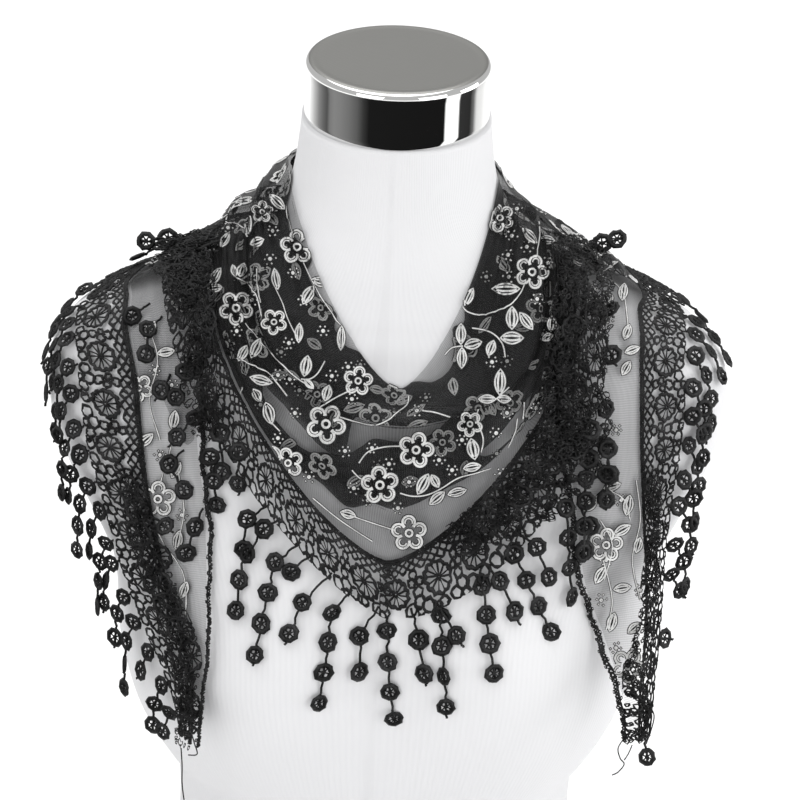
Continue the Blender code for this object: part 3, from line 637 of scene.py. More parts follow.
upper_turn = make_turn("upper_turn", UPPER_TURN)
lower_turn = make_turn("lower_turn", LOWER_TURN)

# ------------------------------------------------------------------ the two ends
# The triangle's ends, of the same black net, cross behind the neck, come forward over the opposite
# shoulders and hang as tails. Behind the neck they lie in gathers; the tails are single flat layers.
END_COLUMNS = ("plain_x", "plain_y", "plain_z", "seam_x", "seam_y", "seam_z",
               "lace_x", "lace_y", "lace_z", "lift", "gather", "hug")
OVER_END = (
    (-61, 0, 451, -104, 0, 406, -132, 0, 390, 7.0, 6, 1),
    (-52, 36, 455, -90, 48, 404, -112, 58, 378, 8.0, 7, 1),
    (-24, 58, 448, -42, 78, 392, -46, 88, 358, 8.5, 8, 1),
    (12, 62, 440, 8, 86, 380, 8, 92, 346, 8.0, 8, 1),
    (50, 52, 430, 60, 82, 372, 64, 90, 340, 7.5, 8, 1),
    (97, 30, 409, 118, 54, 373, 131, 68, 346, 7.5, 4, 1),
    (107, 2, 405, 147, 2, 384, 175, 2, 372, 3.2, 3.5, 1),
    (103, -46, 398, 146, -28, 386, 174, -16, 373, 2.6, 1.5, 1),
    (101, -75, 363, 147, -58, 364, 175, -44, 360, 2.4, 1, 1),
    (105, -82, 322, 149, -68, 318, 176, -56, 318, 2.4, 1, 0.8),
    (112, -86, 286, 152, -69, 281, 172, -60, 284, 2.4, 1, 0.3),
    (120, -90, 236, 156, -72, 238, 168, -64, 240, 2.4, 1, 0),
    (133, -84, 200, 157, -84, 203, 167, -74, 204, 2.4, 1, 0),
    (146, -104, 166, 155, -98, 167, 164, -90, 164, 2.4, 0.5, 0),
    (151, -104, 140, 156, -100, 138, 163, -94, 136, 2.4, 0, 0),
)
UNDER_END = (
    (59, 0, 460, 98, 0, 411, 124, 0, 394, 5.0, 5, 1),
    (52, 36, 456, 84, 48, 406, 100, 60, 380, 3.0, 1, 1),
    (24, 58, 446, 40, 78, 394, 44, 86, 362, 2.4, 1, 1),
    (-14, 60, 438, -16, 84, 382, -18, 92, 348, 2.6, 1, 1),
    (-52, 50, 428, -66, 80, 370, -72, 88, 338, 3.0, 1, 1),
    (-84, 32, 414, -112, 56, 372, -122, 70, 344, 3.0, 1, 1),
    (-106, 2, 405, -152, 2, 382, -180, 2, 369, 2.6, 1, 1),
    (-106, -50, 392, -154, -28, 381, -184, -18, 364, 2.4, 1, 1),
    (-110, -74, 355, -147, -62, 350, -183, -42, 347, 2.4, 0.8, 1),
    (-110, -82, 314, -142, -72, 309, -178, -52, 307, 2.4, 0.8, 1),
    (-105, -89, 279, -137, -77, 273, -169, -54, 270, 2.4, 1, 0.7),
    (-102, -100, 238, -126, -80, 232, -157, -56, 226, 2.4, 1, 0.2),
    (-101, -112, 207, -115, -92, 203, -143, -70, 196, 2.4, 1, 0),
    (-102, -114, 178, -109, -102, 176, -129, -84, 171, 2.4, 0.5, 0),
    (-104, -112, 154, -108, -104, 152, -120, -92, 150, 2.4, 0, 0),
    (-106, -110, 130, -109, -104, 128, -116, -96, 126, 2.4, 0, 0),
)
RIDGE_STATION = 6        # the wraps end and the tails start at this row
END_START = 0.06
SEAM_OUT = 0.9           # the grids' columns are even along this line near the seam
LACE_OUT = 1.5           # and those of the lace along its middle
OVER_TIP = len(OVER_END) - 1
UNDER_TIP = len(UNDER_END) - 1
GATHERS = 2
RIPPLES = 5              # finer ripples across an end
RIPPLE_HEIGHT = 0.7


def through_rows(rows, place):
    """Read a Catmull-Rom curve through rows of numbers at a place from 0 to the last row."""
    last = len(rows) - 1
    i = min(max(int(place), 0), last - 1)
    t = place - i
    before, start, end, after = (np.asarray(rows[min(max(k, 0), last)], float)
                                 for k in (i - 1, i, i + 1, i + 2))
    return 0.5 * (2 * start + (end - before) * t + (2 * before - 5 * start + 4 * end - after) * t * t
                  + (3 * start - before - 3 * end + after) * t ** 3)


def end_grid(rows, alongs, outs, ripple=0.0):
    """One end as a grid; out is 0 on the plain edge, 1 on the seam and 2 on the lace's edge."""
    side = 1 if rows is UNDER_END else -1
    first = dict(zip(END_COLUMNS, rows[0]))
    outs = np.asarray(outs, float)
    grid = np.zeros((len(outs), len(alongs), 3))
    joined = np.where(outs <= 1, outs, 1)
    drape_side = drape_grid(np.array([float(side)]), joined[:, None] * SEAM_ROW, creased=0.0)[:, 0]
    gathers = np.where(outs <= 1, np.sin(math.pi * GATHERS * outs) ** 2, 0)

    def corner(row, part):
        return np.array([row[part + axis] for axis in ("_x", "_y", "_z")])

    for column, along in enumerate(alongs):
        row = dict(zip(END_COLUMNS, through_rows(rows, along)))
        plain, seam, lace = (corner(row, part) for part in ("plain", "seam", "lace"))
        hug = min(max(row["hug"], 0), 1)
        for line, out in enumerate(outs):
            if out > 1:
                grid[line, column] = over_form(seam + (lace - seam) * (out - 1), row["lift"], hug)
                continue
            wave = ripple * math.sin(math.pi * out) * math.sin(
                2 * math.pi * (RIPPLES * out + 0.35 * math.sin(1.7 * along)) + 0.9 * along)
            lift = row["lift"] + max(row["gather"], 0) * gathers[line] + wave
            point = np.array(over_form(plain + (seam - plain) * out, lift, hug))
            if along < 1:
                start = corner(first, "plain") * (1 - out) + corner(first, "seam") * out
                start_lift = first["lift"] + first["gather"] * gathers[line]
                fade = (1 - along) ** 2 * (1 + 2 * along)
                point = point + (drape_side[line] - np.array(over_form(start, start_lift, 1))) * fade
            grid[line, column] = point
    return grid


def even_alongs(rows, start, end, count, out=SEAM_OUT, samples=160):
    """Places along an end that are evenly far apart along one of its lines."""
    fine = np.linspace(start, end, samples)
    points = end_grid(rows, fine, [out])[0]
    return np.interp(even_columns(points, count), np.arange(samples), fine)


gathered_net = net_material("gathered_black_net", cover=0.80, rib_cover=0.07, cloud_cover=0.13)
# The tails are of the same net as the front, given less cover so that they show lighter: painted light.
tail_net = net_material("tail_black_net", cover=0.24, rib_cover=0.08, cloud_cover=0.05,
                        gathered=0.46)
END_STRETCHES = (        # CAD node, end, from, to, grid columns, cloth
    ("wrap_over", OVER_END, END_START, RIDGE_STATION, 150, gathered_net),
    ("wrap_under", UNDER_END, END_START, RIDGE_STATION, 150, gathered_net),
    ("right_tail", OVER_END, RIDGE_STATION, OVER_TIP - 0.4, 130, tail_net),
    ("left_tail", UNDER_END, RIDGE_STATION, UNDER_TIP - 0.8, 130, tail_net),
)
END_LINES = 49
end_nets = {}
end_points = {}
for node, rows, start, end, columns, cloth in END_STRETCHES:
    alongs = even_alongs(rows, start, end, columns)
    points = end_grid(rows, alongs, np.linspace(0, 1, END_LINES), RIPPLE_HEIGHT)
    net = cloth_sheet(node + "_net", points, cloth)
    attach(net, "root")
    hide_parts(node)
    end_nets[node] = net
    end_points[node] = points

# The left tail's upper part is folded double, so it shows darker there.
TAIL_TURN_ALONG = (RIDGE_STATION + 0.05, 9.1)    # from and to, in rows of the end
TAIL_TURN_OUT = (0.06, 0.97)             # from the plain edge's side to the seam's
TAIL_TURN_GRID = (25, 60)
TAIL_TURN_EDGE = (0.86, 0.13)            # its lower edge waves about this share of its length
TAIL_TURN_UNDER = (-0.45, -1.1, 0.5)     # from the second layer to the first
turn_lines, turn_columns = TAIL_TURN_GRID
tail_turn = end_grid(UNDER_END, even_alongs(UNDER_END, *TAIL_TURN_ALONG, turn_columns),
                     np.linspace(*TAIL_TURN_OUT, turn_lines), RIPPLE_HEIGHT)
edge_middle, edge_swing = TAIL_TURN_EDGE
turn_reach = (turn_columns - 1) * (edge_middle
                                   + edge_swing * np.sin(0.9 + 5 * np.linspace(0, 1, turn_lines)))
tail_turn = np.array([[through_rows(line, place) for place in np.linspace(0, reach, turn_columns)]
                      for line, reach in zip(tail_turn, turn_reach)]) - TAIL_TURN_UNDER
left_tail_turn = cloth_sheet("left_tail_turn", tail_turn, tail_net)
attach(left_tail_turn, "root")

# ------------------------------------------------------------------ lace bands
# Both short edges of the triangle carry a machine guipure lace in black cord: a crochet heading,
# a net of small lens-shaped holes, then rosettes of twelve petals with round loops between them.
LACE_WIDTH = 34.0
ROSETTE_PITCH = 27.0
HEADING_CORDS = (0.4, 1.5, 2.6)
HEADING_STITCH = 1.9
HEADING_CORD = (1.5, 1.3)    # each cord's section: width and height
NET_CORD = (1.6, 1.2)
RING_CORD = (2.4, 1.8)
HUB_CORD = (1.6, 1.7)
PETAL_CORD = (1.0, 1.0)
LOOP_CORD = (1.75, 1.2)
PETALS = 12
NET_FROM = 3.1
NET_STEP = 2.3           # from one wavy cord of the net to the next
NET_CORDS = 3
NET_WAVE = 6.8
ROSETTE_MIDDLE = 19.2
ROSETTE_RADIUS = 9.0
ROSETTE_SHARE = 0.25     # where a rosette stands in its pitch
LOOPS = (                # along from halfway between rosettes, out, radius
    (0.0, 11.6, 2.4), (-2.4, 16.2, 2.1), (2.4, 17.0, 2.2), (-0.2, 21.8, 2.8), (0.2, 27.6, 3.4),
    (-5.8, 30.2, 3.3), (5.8, 30.6, 3.4), (13.5, 31.0, 2.8), (0.0, 32.4, 2.2), (9.9, 31.9, 2.0),
)
CORD_BLACK = (0.002, 0.002, 0.0022)
# painted glints: the grey that is flecked into the black cord
CORD_GLINT_GREY = (0.034, 0.034, 0.035)
LACE_WANDER = 0.6        # how far the work is pulled out of true
LACE_JITTER = 0.2
LACE_SEED = 27
LACE_SAMPLE = 0.9        # from one point of a long cord to the next
PUCKER_FADE = 12.0       # puckers of the lace run out over this length


def way_ahead(path, closed=False):
    """The direction in which a path runs at each of its points."""
    if closed:
        return np.roll(path, -1, axis=0) - np.roll(path, 1, axis=0)
    return np.gradient(path, axis=0)


def sweep_faces(count, sides, closed=False, joined=True, turned=False):
    """The faces between stations of a swept section, which may be joined round and turned over."""
    faces = []
    for i in range(count if closed else count - 1):
        here, then = sides * i, sides * ((i + 1) % count)
        for k in range(sides if joined else sides - 1):
            m = (k + 1) % sides
            faces.append((here + k, here + m, then + m, then + k) if turned
                         else (here + k, then + k, then + m, here + m))
    return faces


def end_caps(count, sides):
    return [tuple(range(sides))[::-1], tuple(range(sides * (count - 1), sides * count))]


def toward(turn):
    return np.array([math.cos(turn), math.sin(turn)])


def cord_run(path, wide, high, closed=False):
    """A cord that lies along a path: a flattened four-sided section with closed ends."""
    path = np.asarray(path, float)
    if path.shape[1] == 2:
        path = np.concatenate([path, np.zeros((len(path), 1))], axis=1)
    ahead = way_ahead(path, closed)
    side = unit(np.stack([-ahead[:, 1], ahead[:, 0], np.zeros(len(path))], axis=1))
    up = np.array([0, 0, high / 2])
    section = np.stack([path + side * wide / 2, path + up, path - side * wide / 2, path - up], axis=1)
    faces = sweep_faces(len(path), 4, closed)
    return section.reshape(-1, 3), faces if closed else faces + end_caps(len(path), 4)


def gather_work(parts):
    """Several bits of cord as one list of points and faces."""
    points, faces, first = [], [], 0
    for part_points, part_faces in parts:
        points.append(part_points)
        faces += [tuple(i + first for i in face) for face in part_faces]
        first += len(part_points)
    return np.concatenate(points), faces


def circle(centre, radius, count, wobble=0.0, bumps=0, start=0.0):
    turn = start + np.linspace(0, 2 * math.pi, count, endpoint=False)
    reach = radius + wobble * np.cos(bumps * turn)
    return np.stack([centre[0] + reach * np.cos(turn), centre[1] + reach * np.sin(turn)], axis=1)


def rosette(middle, draw):
    """A round flower of twelve narrow petals inside a scalloped ring."""
    wide = ROSETTE_RADIUS * draw.uniform(0.94, 1.04)
    start = draw.uniform(0, 0.5)
    parts = [cord_run(circle(middle, wide - 1.1, 48, 0.55, PETALS, start), *RING_CORD, closed=True),
             cord_run(circle(middle, 1.0, 8), *HUB_CORD, closed=True)]
    for petal in range(PETALS):
        reach = toward(2 * math.pi * (petal + 0.5) / PETALS + start + draw.normal(0, 0.04))
        stops = [np.array(middle) + reach * stop for stop in (1.1, 3.4, wide - 1.2)]
        parts.append(cord_run(stops, *PETAL_CORD))
    return parts


def pull_about(flat, amount):
    """Flat work pulled a little out of true, smoothly."""
    s, t = flat[:, 0], flat[:, 1]
    flat = flat.copy()
    flat[:, 0] += amount * (np.sin(t / 4.1 + s / 9.7) + 0.6 * np.sin(s / 5.3 + 1.1))
    flat[:, 1] += amount * np.clip(t / 8, 0, 1) * (np.sin(s / 6.1 + 0.7) + 0.6 * np.sin(s / 3.7 + t / 5))
    return flat


def lace_work(length, draw):
    """The flat lace pattern for a band of that length, in millimetres along and out."""
    count = max(int(round(length / ROSETTE_PITCH)), 1)
    pitch = length / count
    s = np.linspace(0, length, max(int(length / LACE_SAMPLE), 8))
    lines = [(line + 0.3 * np.sin(2 * math.pi * s / HEADING_STITCH + line * 2), HEADING_CORD)
             for line in HEADING_CORDS]
    waves = max(int(round(length / NET_WAVE)), 1)
    for cord in range(NET_CORDS):
        swing = NET_STEP * 0.46 * np.cos(2 * math.pi * waves * s / length + math.pi * cord)
        lines.append((NET_FROM + NET_STEP * (cord + 0.5) + swing, NET_CORD))
    parts = [cord_run(np.stack([s, line], axis=1), *section) for line, section in lines]
    for k in range(count):
        middle = pitch * (k + ROSETTE_SHARE)
        parts += rosette((middle, ROSETTE_MIDDLE + draw.normal(0, 0.3)), draw)
        for along, out, radius in LOOPS:
            centre = (middle + pitch / 2 + along + draw.normal(0, 0.3), out + draw.normal(0, 0.3))
            radius = radius * draw.uniform(0.86, 1.08)
            if centre[0] + radius < length:
                loop = circle(centre, radius, 12, 0.3, 5, draw.uniform(0, 1))
                parts.append(cord_run(loop, *LOOP_CORD, closed=True))
    points, faces = gather_work(parts)
    points = pull_about(points, LACE_WANDER)
    points = points + draw.normal(0, LACE_JITTER, points.shape) * (1, 1, 0.8)
    points[:, 0] = np.clip(points[:, 0], 0, length)
    return points, faces


def drape_lace_grid(places, outs):
    """The lace below the front drape's seam as a grid."""
    inner = fold_line(FOLDS[SEAM_ROW], places)
    outer = fold_line(FOLDS[LACE_ROW], places)
    return on_front(inner + (outer - inner) * np.asarray(outs, float)[:, None, None])


def band_frame(grid, puckers=()):
    """A band's points, outward normals and distance along it; puckers are (from, to, height, step)."""
    normals, away = grid_normals(grid)
    normals = normals if away else -normals
    walked = distance_along(grid[int(len(grid) * 0.6)])
    out = np.linspace(0, 1, len(grid))[:, None]
    for start, end, height, step in puckers:
        share = (np.clip((walked - start) / PUCKER_FADE, 0, 1)
                 * np.clip((end - walked) / PUCKER_FADE, 0, 1))
        wave = 0.5 + 0.5 * np.sin(2 * math.pi * walked / step + 1.5 * out)
        grid = grid + normals * (height * share * wave * np.sin(math.pi * out))[..., None]
    return grid, normals, walked


def lay_on_band(work, band):
    """Move flat work (along, out, up) onto a band."""
    grid, normals, walked = band
    rows, columns = grid.shape[:2]
    column = np.clip(np.interp(work[:, 0], walked, np.arange(columns)), 0, columns - 1.001)
    row = np.clip(work[:, 1] / LACE_WIDTH, 0, 1) * (rows - 1.001)
    i, j = row.astype(int), column.astype(int)
    a, b = (row - i)[:, None], (column - j)[:, None]

    def read(values):
        return ((values[i, j] * (1 - b) + values[i, j + 1] * b) * (1 - a)
                + (values[i + 1, j] * (1 - b) + values[i + 1, j + 1] * b) * a)

    return read(grid) + read(normals) * work[:, 2:3]


def cord_material():
    """Black cotton cord: twisted strands with a dull gleam, and grey flecks painted into the colour as
    glints.
    """
    made, tree, shader = start_material("black_guipure_cord")
    place = object_place(tree)
    strand, cloud = noise(tree, place, 1400.0, 2.0), noise(tree, place, 90.0, 3.0)
    # Painted glints: grey flecks in the black wherever the strand and cloud noises run high.
    tone = remap(tree, combine(tree, strand, cloud), 0.0, 1.0, 0.22, 0.42)
    colour = blend(tree, tone, CORD_BLACK, CORD_GLINT_GREY)
    set_inputs(tree, shader, {"Base Color": colour, "Roughness": remap(tree, strand, 0.36, 0.75),
                              "Normal": bump(tree, strand, 0.85, 0.0004),
                              "Specular IOR Level": 0.36})
    return made


guipure = cord_material()
draw = np.random.default_rng(LACE_SEED)


def make_lace(name, node, band):
    points, faces = lace_work(band[2][-1], draw)
    lace = make_piece(name, lay_on_band(points, band), faces, guipure)
    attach(lace, "root")
    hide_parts(node)
    return lace


LACE_OUTS = np.linspace(0, 1, 13)
JUST_OUT = 1e-6          # past the seam line, so that the band is laid as lace from its first row
BAND_COLUMNS = 260
LEFT_BIB_LACE = (-0.99, 0.03)       # places across the drape, from and to
RIGHT_BIB_LACE = (-0.03, 0.88)
BIB_PUCKERS = ((60, 210, 3.0, 19),)  # from, to, height and step
UNDER_LACE_START = 3.6   # the end below carries lace from where the end above leaves it free
LACE_TIP = 0.05          # the lace stops this short of a tail's tip


def end_lace_band(rows, start, end):
    alongs = even_alongs(rows, start, end, BAND_COLUMNS, LACE_OUT)
    return band_frame(end_grid(rows, alongs, 1 + LACE_OUTS + JUST_OUT))


bands = {
    "drape_lace_left": band_frame(
        drape_lace_grid(np.linspace(*LEFT_BIB_LACE, BAND_COLUMNS), LACE_OUTS)),
    "drape_lace_right": band_frame(
        drape_lace_grid(np.linspace(*RIGHT_BIB_LACE, BAND_COLUMNS), LACE_OUTS), BIB_PUCKERS),
    "right_tail_lace": end_lace_band(OVER_END, RIDGE_STATION, OVER_TIP - LACE_TIP),
    "left_tail_lace": end_lace_band(UNDER_END, RIDGE_STATION, UNDER_TIP - LACE_TIP),
    "wrap_over_lace": end_lace_band(OVER_END, END_START, RIDGE_STATION),
    "wrap_under_lace": end_lace_band(UNDER_END, UNDER_LACE_START, RIDGE_STATION),
}
laces = {node: make_lace(node + "_guipure", node, band) for node, band in bands.items()}

# ------------------------------------------------------------------ embroidery
# Pale grey thread is worked on the net: five-petalled flowers, pointed leaves, dot clusters and
# thin stems, each with a black edge that shows only where a single layer lies over the form.
# The front is set out at the picture's pixels; hidden stretches carry a like repeat.
FLOWERS_PX = (           # pixel across and down, width in millimetres, turn in degrees
    (297, 247, 20, 92), (236, 308, 20, 55), (274, 322, 15, 120), (326, 424, 23, 60),
    (380, 485, 22, 95), (416, 450, 21, 75), (409, 533, 21, 20), (288, 463, 18, 30),
    (358, 381, 17, 10), (532, 272, 20, 70), (500, 218, 17, 40), (158, 499, 21, 15),
    (628, 666, 20, 60), (139, 388, 17, 50), (214, 213, 17, 33), (598, 300, 18, 80),
    (606, 545, 20, 12), (183, 300, 16, 70), (262, 212, 13, 15), (470, 424, 15, 50),
)
LEAVES_PX = (            # pixel across and down, length and width in millimetres, angle in degrees
    (277, 202, 12, 5.0, -45), (257, 242, 8, 5.0, 20), (276, 279, 12, 4.2, -80),
    (308, 295, 12, 5.5, 60), (321, 282, 11, 5.0, -15), (215, 277, 12, 4.8, 58),
    (215, 288, 8, 4.4, 5), (234, 271, 7, 3.4, -75), (299, 333, 11, 4.2, 87),
    (341, 338, 14, 4.0, 88), (306, 366, 12, 6.0, 80), (256, 348, 12, 5.5, 65),
    (261, 380, 13, 5.0, -15), (257, 395, 8, 4.5, -60), (269, 413, 13, 6.2, -75),
    (327, 393, 9, 5.2, 75), (309, 384, 7, 3.2, -45), (248, 225, 14, 3.4, 85),
    (242, 270, 8, 5.0, 70), (243, 353, 10, 4.6, 60), (517, 188, 13, 5.0, -35),
    (530, 236, 12, 4.4, -48), (547, 240, 9, 4.6, -8), (506, 289, 16, 6.2, 0),
    (512, 318, 13, 6.4, 90), (526, 321, 12, 5.2, -52), (512, 338, 13, 6.6, 0),
    (461, 334, 12, 5.2, 90), (473, 344, 10, 5.6, 15), (462, 358, 12, 5.2, 90),
    (500, 382, 15, 6.0, 88), (487, 399, 10, 4.6, 0), (504, 399, 8, 4.2, -5),
    (552, 324, 9, 4.6, 87), (548, 337, 7, 3.8, 30), (560, 331, 6, 3.8, 45),
    (469, 297, 11, 4.2, 65), (491, 348, 9, 5.0, 70), (473, 449, 12, 6.4, -80),
    (472, 467, 10, 4.6, 10), (423, 484, 13, 6.0, 62), (435, 481, 8, 4.4, -60),
    (437, 498, 11, 5.0, 40), (457, 492, 11, 4.4, 15), (348, 514, 9, 4.6, -15),
    (276, 453, 9, 5.0, -60), (623, 292, 10, 4.6, 80), (627, 332, 9, 4.2, 70),
    (632, 350, 9, 4.2, 20), (626, 368, 9, 4.4, 60), (596, 470, 11, 5.0, 70),
    (612, 486, 10, 4.6, 15), (628, 505, 12, 5.2, 80), (590, 505, 10, 5.0, 40),
    (622, 530, 11, 5.0, 30), (638, 545, 9, 4.4, 75), (600, 575, 11, 5.0, 60),
    (622, 588, 10, 4.6, 10), (612, 622, 11, 5.0, 75), (634, 628, 9, 4.4, 40),
    (150, 330, 11, 5.2, 60), (166, 352, 10, 4.8, 10), (174, 420, 11, 5.2, 80),
    (146, 440, 11, 5.0, 40), (176, 470, 10, 4.6, 60), (140, 470, 9, 4.4, -20),
    (178, 540, 11, 5.0, 80), (160, 560, 10, 4.6, 30), (184, 590, 10, 4.6, 70),
    (186, 640, 9, 4.2, 80), (176, 620, 9, 4.2, 20), (196, 216, 11, 4.8, 50),
    (236, 200, 10, 4.2, 30), (225, 240, 10, 4.0, 60), (580, 262, 10, 4.6, -20),
    (606, 268, 10, 4.4, 30), (575, 380, 9, 4.4, 60), (590, 410, 10, 4.6, 20),
)
DOTS_PX = (              # pixel across and down of each cluster's middle
    (273, 231), (270, 259), (293, 273), (317, 269), (289, 343), (237, 331), (323, 331),
    (332, 376), (348, 367), (352, 399), (295, 413), (345, 451), (309, 477), (354, 488),
    (389, 464), (409, 482), (278, 438), (517, 209), (512, 236), (527, 247), (508, 255),
    (509, 277), (548, 263), (537, 299), (492, 362), (507, 413), (536, 408), (548, 388),
    (439, 460), (496, 433), (500, 474), (560, 296), (278, 375), (290, 379), (417, 411),
    (212, 245), (203, 300), (228, 228), (590, 290), (607, 322), (640, 320), (621, 500),
    (606, 560), (601, 600), (640, 590), (616, 648), (155, 370), (172, 385), (160, 455),
    (150, 520), (182, 515), (170, 590), (190, 665), (583, 350), (600, 440), (616, 430),
    (368, 500), (398, 508), (372, 448), (452, 470), (462, 440), (303, 300), (252, 300),
)
STEMS_PX = (             # the pixels that each stem runs through
    ((286, 207), (290, 227), (294, 236)), ((303, 263), (312, 282), (325, 304), (340, 325)),
    ((276, 288), (283, 303), (288, 318), (297, 337)),
    ((234, 277), (247, 284), (256, 296), (261, 316)), ((257, 269), (258, 287), (260, 303)),
    ((246, 323), (257, 338), (283, 365), (297, 378), (313, 388)),
    ((235, 358), (253, 365), (270, 375), (287, 396)), ((325, 361), (318, 373), (310, 379), (301, 379)),
    ((353, 389), (337, 397), (320, 407)),
    ((340, 417), (357, 422), (374, 425), (388, 420), (397, 413), (407, 405), (409, 396)),
    ((242, 387), (240, 400), (244, 412), (253, 424), (263, 441), (277, 460)),
    ((539, 222), (540, 237), (536, 258)),
    ((526, 281), (521, 293), (511, 304), (497, 311), (481, 315), (468, 312), (463, 307)),
    ((445, 355), (452, 348), (463, 346)), ((555, 332), (562, 351)), ((496, 399), (509, 387)),
    ((422, 411), (433, 412), (450, 417)), ((472, 328), (490, 332), (502, 343), (505, 357)),
    ((359, 463), (368, 452), (384, 447), (402, 446)),
    ((400, 493), (412, 496), (426, 495), (440, 489), (458, 478), (476, 473), (490, 468)),
    ((370, 481), (360, 478), (352, 470)), ((270, 421), (280, 431)),
    ((478, 409), (477, 419), (483, 438), (481, 452)), ((524, 402), (523, 419)),
    ((517, 418), (515, 432), (508, 447)), ((313, 498), (340, 520), (372, 541)),
    ((350, 515), (370, 522), (395, 530)), ((256, 223), (264, 216), (277, 211)),
    ((231, 208), (226, 222), (236, 224), (246, 230)),
    ((592, 500), (606, 490), (624, 500), (630, 520)), ((603, 560), (612, 600), (606, 630)),
    ((636, 480), (640, 520), (632, 560), (640, 600)), ((600, 520), (612, 545), (604, 580)),
    ((150, 330), (158, 360), (150, 400), (160, 440)), ((176, 420), (170, 450), (160, 485)),
    ((150, 515), (165, 545), (184, 575), (186, 620)), ((178, 470), (184, 510), (178, 545)),
    ((196, 216), (210, 225), (228, 215)), ((585, 262), (600, 275), (622, 292), (628, 330)),
)
THREAD_LIFT = 0.45       # the thread stands this far off the net
EDGE_LIFT = 0.25
EDGE_EXTRA = 0.55        # the black edge is this much wider on each side
STEM_WIDE = 0.75
STEM_EDGE = 0.7          # a stem's black edge is this much wider in all
STEM_BREAK = 7.0         # a stem breaks off where its next point is further away than this
THREAD_CROWN = 0.3       # how far the thread's middle stands out
STEM_CROWN = 0.25
EDGE_CROWN = 0.05
SEEN_DEPTH = 11.0        # a motif breaks off where a fold drops away by more than this
THREAD_DARK = (0.36, 0.36, 0.355)
THREAD_PALE = (0.72, 0.72, 0.71)
REPEAT_PITCH = 21.0      # the repeat on stretches that the picture hides
MOTIF_SEED = 27
FLOWER_EYE = (0.19, 0.12)    # radius and thread width, as shares of half the flower's width
PETAL_MIDDLE = 0.61
PETAL_ARCS = ((0.345, 0.13, 140, 15), (0.205, 0.085, 112, 9))   # the same, half turn and points
LEAF_FULLNESS = 0.85     # below 1, a leaf is fuller towards its points
LEAF_THREAD = 0.95
LEAF_VEIN = 0.42         # a vein lies at this share of the leaf's half width
VEIN_THREAD = 0.19
DOT_SPREAD = 3.0
DOT_MIDDLE = (0.6, 1.25)     # each knot's radius and thread width
DOT_SMALL = (0.3, 0.62)
STEM_POINTS = 7          # from one of a stem's pixels to the next


def arc(centre, radius, start, end, count):
    turn = np.radians(np.linspace(start, end, count))
    return np.stack([centre[0] + radius * np.cos(turn), centre[1] + radius * np.sin(turn)], axis=1)


def flower_lines(wide, turn):
    """A five-petalled flower as lines: path, thread width and whether it closes."""
    size = wide / 2
    eye, eye_thread = FLOWER_EYE
    lines = [(arc((0, 0), eye * size, 0, 330, 12), eye_thread * size, True)]
    for petal in range(5):
        lean = turn + 72 * petal
        middle = PETAL_MIDDLE * size * toward(math.radians(lean))
        for radius, thread, half, count in PETAL_ARCS:
            path = arc(middle, radius * size, lean - half, lean + half, count)
            lines.append((path, thread * size, False))
    return lines


def leaf_lines(length, wide, turn):
    """A pointed leaf: an outline, and a vein each side of a dark midrib."""
    share = np.linspace(0, 1, 9)
    x = (share - 0.5) * length
    bulge = np.sin(math.pi * share) ** LEAF_FULLNESS * wide / 2
    along = toward(math.radians(turn))
    way = np.array([along, (-along[1], along[0])])
    rim = np.concatenate([np.stack([x, bulge], axis=1), np.stack([x, -bulge], axis=1)[-2:0:-1]])
    lines = [(rim @ way, LEAF_THREAD, True)]
    for side in (-LEAF_VEIN, LEAF_VEIN):
        vein = np.stack([x, side * bulge], axis=1)[1:-1]
        lines.append((vein @ way, VEIN_THREAD * wide, False))
    return lines


def dot_lines():
    """A cluster of seed stitches: one large knot in a ring of six small ones."""
    radius, thread = DOT_MIDDLE
    lines = [(circle((0, 0), radius, 6), thread, True)]
    radius, thread = DOT_SMALL
    for knot in range(6):
        turn = 2 * math.pi * knot / 6 + draw.uniform(-0.2, 0.2)
        reach = DOT_SPREAD * draw.uniform(0.85, 1.15)
        lines.append((circle(reach * toward(turn), radius, 4), thread, True))
    return lines


def ribbon(points, normals, wide, lift, crown, closed):
    """A crowned ribbon of thread along a path on the cloth."""
    points, normals = np.asarray(points, float), np.asarray(normals, float)
    side = unit(np.cross(normals, way_ahead(points, closed)))
    base = points + normals * lift
    rows = np.stack([base + side * wide / 2, base + normals * crown, base - side * wide / 2], axis=1)
    return rows.reshape(-1, 3), sweep_faces(len(points), 3, closed, joined=False, turned=True)


def thread_material():
    """Pale grey viscose thread in close satin stitches, with a soft gleam."""
    made, tree, shader = start_material("pale_thread")
    place = object_place(tree)
    stitch, cloud = noise(tree, place, 1800.0, 1.0), noise(tree, place, 120.0, 2.0)
    tone = remap(tree, combine(tree, stitch, cloud, "ADD"), 0.0, 1.0, 0.75, 1.25)
    set_inputs(tree, shader, {"Base Color": blend(tree, tone, THREAD_DARK, THREAD_PALE),
                              "Normal": bump(tree, stitch, 0.5, 0.0003), "Roughness": 0.45,
                              "Sheen Weight": 0.2})
    return made


def tree_of(*pieces):
    """Finished pieces as one tree of faces, in millimetres."""
    points, faces = [], []
    for piece in pieces:
        first = len(points)
        points += [tuple(corner.co / METRE) for corner in piece.data.vertices]
        faces += [tuple(first + i for i in face.vertices) for face in piece.data.polygons]
    return BVHTree.FromPolygons(points, faces)


pale_thread = thread_material()
hosts = {"front_drape": front_drape, "upper_turn": upper_turn, "lower_turn": lower_turn, **end_nets}
host_trees = {name: tree_of(piece) for name, piece in hosts.items()}
worked = {name: ([], []) for name in hosts}
SEEN_HOSTS = ("front_drape", *end_nets)


def sew(name, points, normals, wide, closed=False, crown=THREAD_CROWN, edge=2 * EDGE_EXTRA):
    """Work one line on a host cloth: pale thread, and under it a wider black edge."""
    worked[name][0].append(ribbon(points, normals, wide, THREAD_LIFT, crown, closed))
    worked[name][1].append(ribbon(points, normals, wide + edge, EDGE_LIFT, EDGE_CROWN, closed))


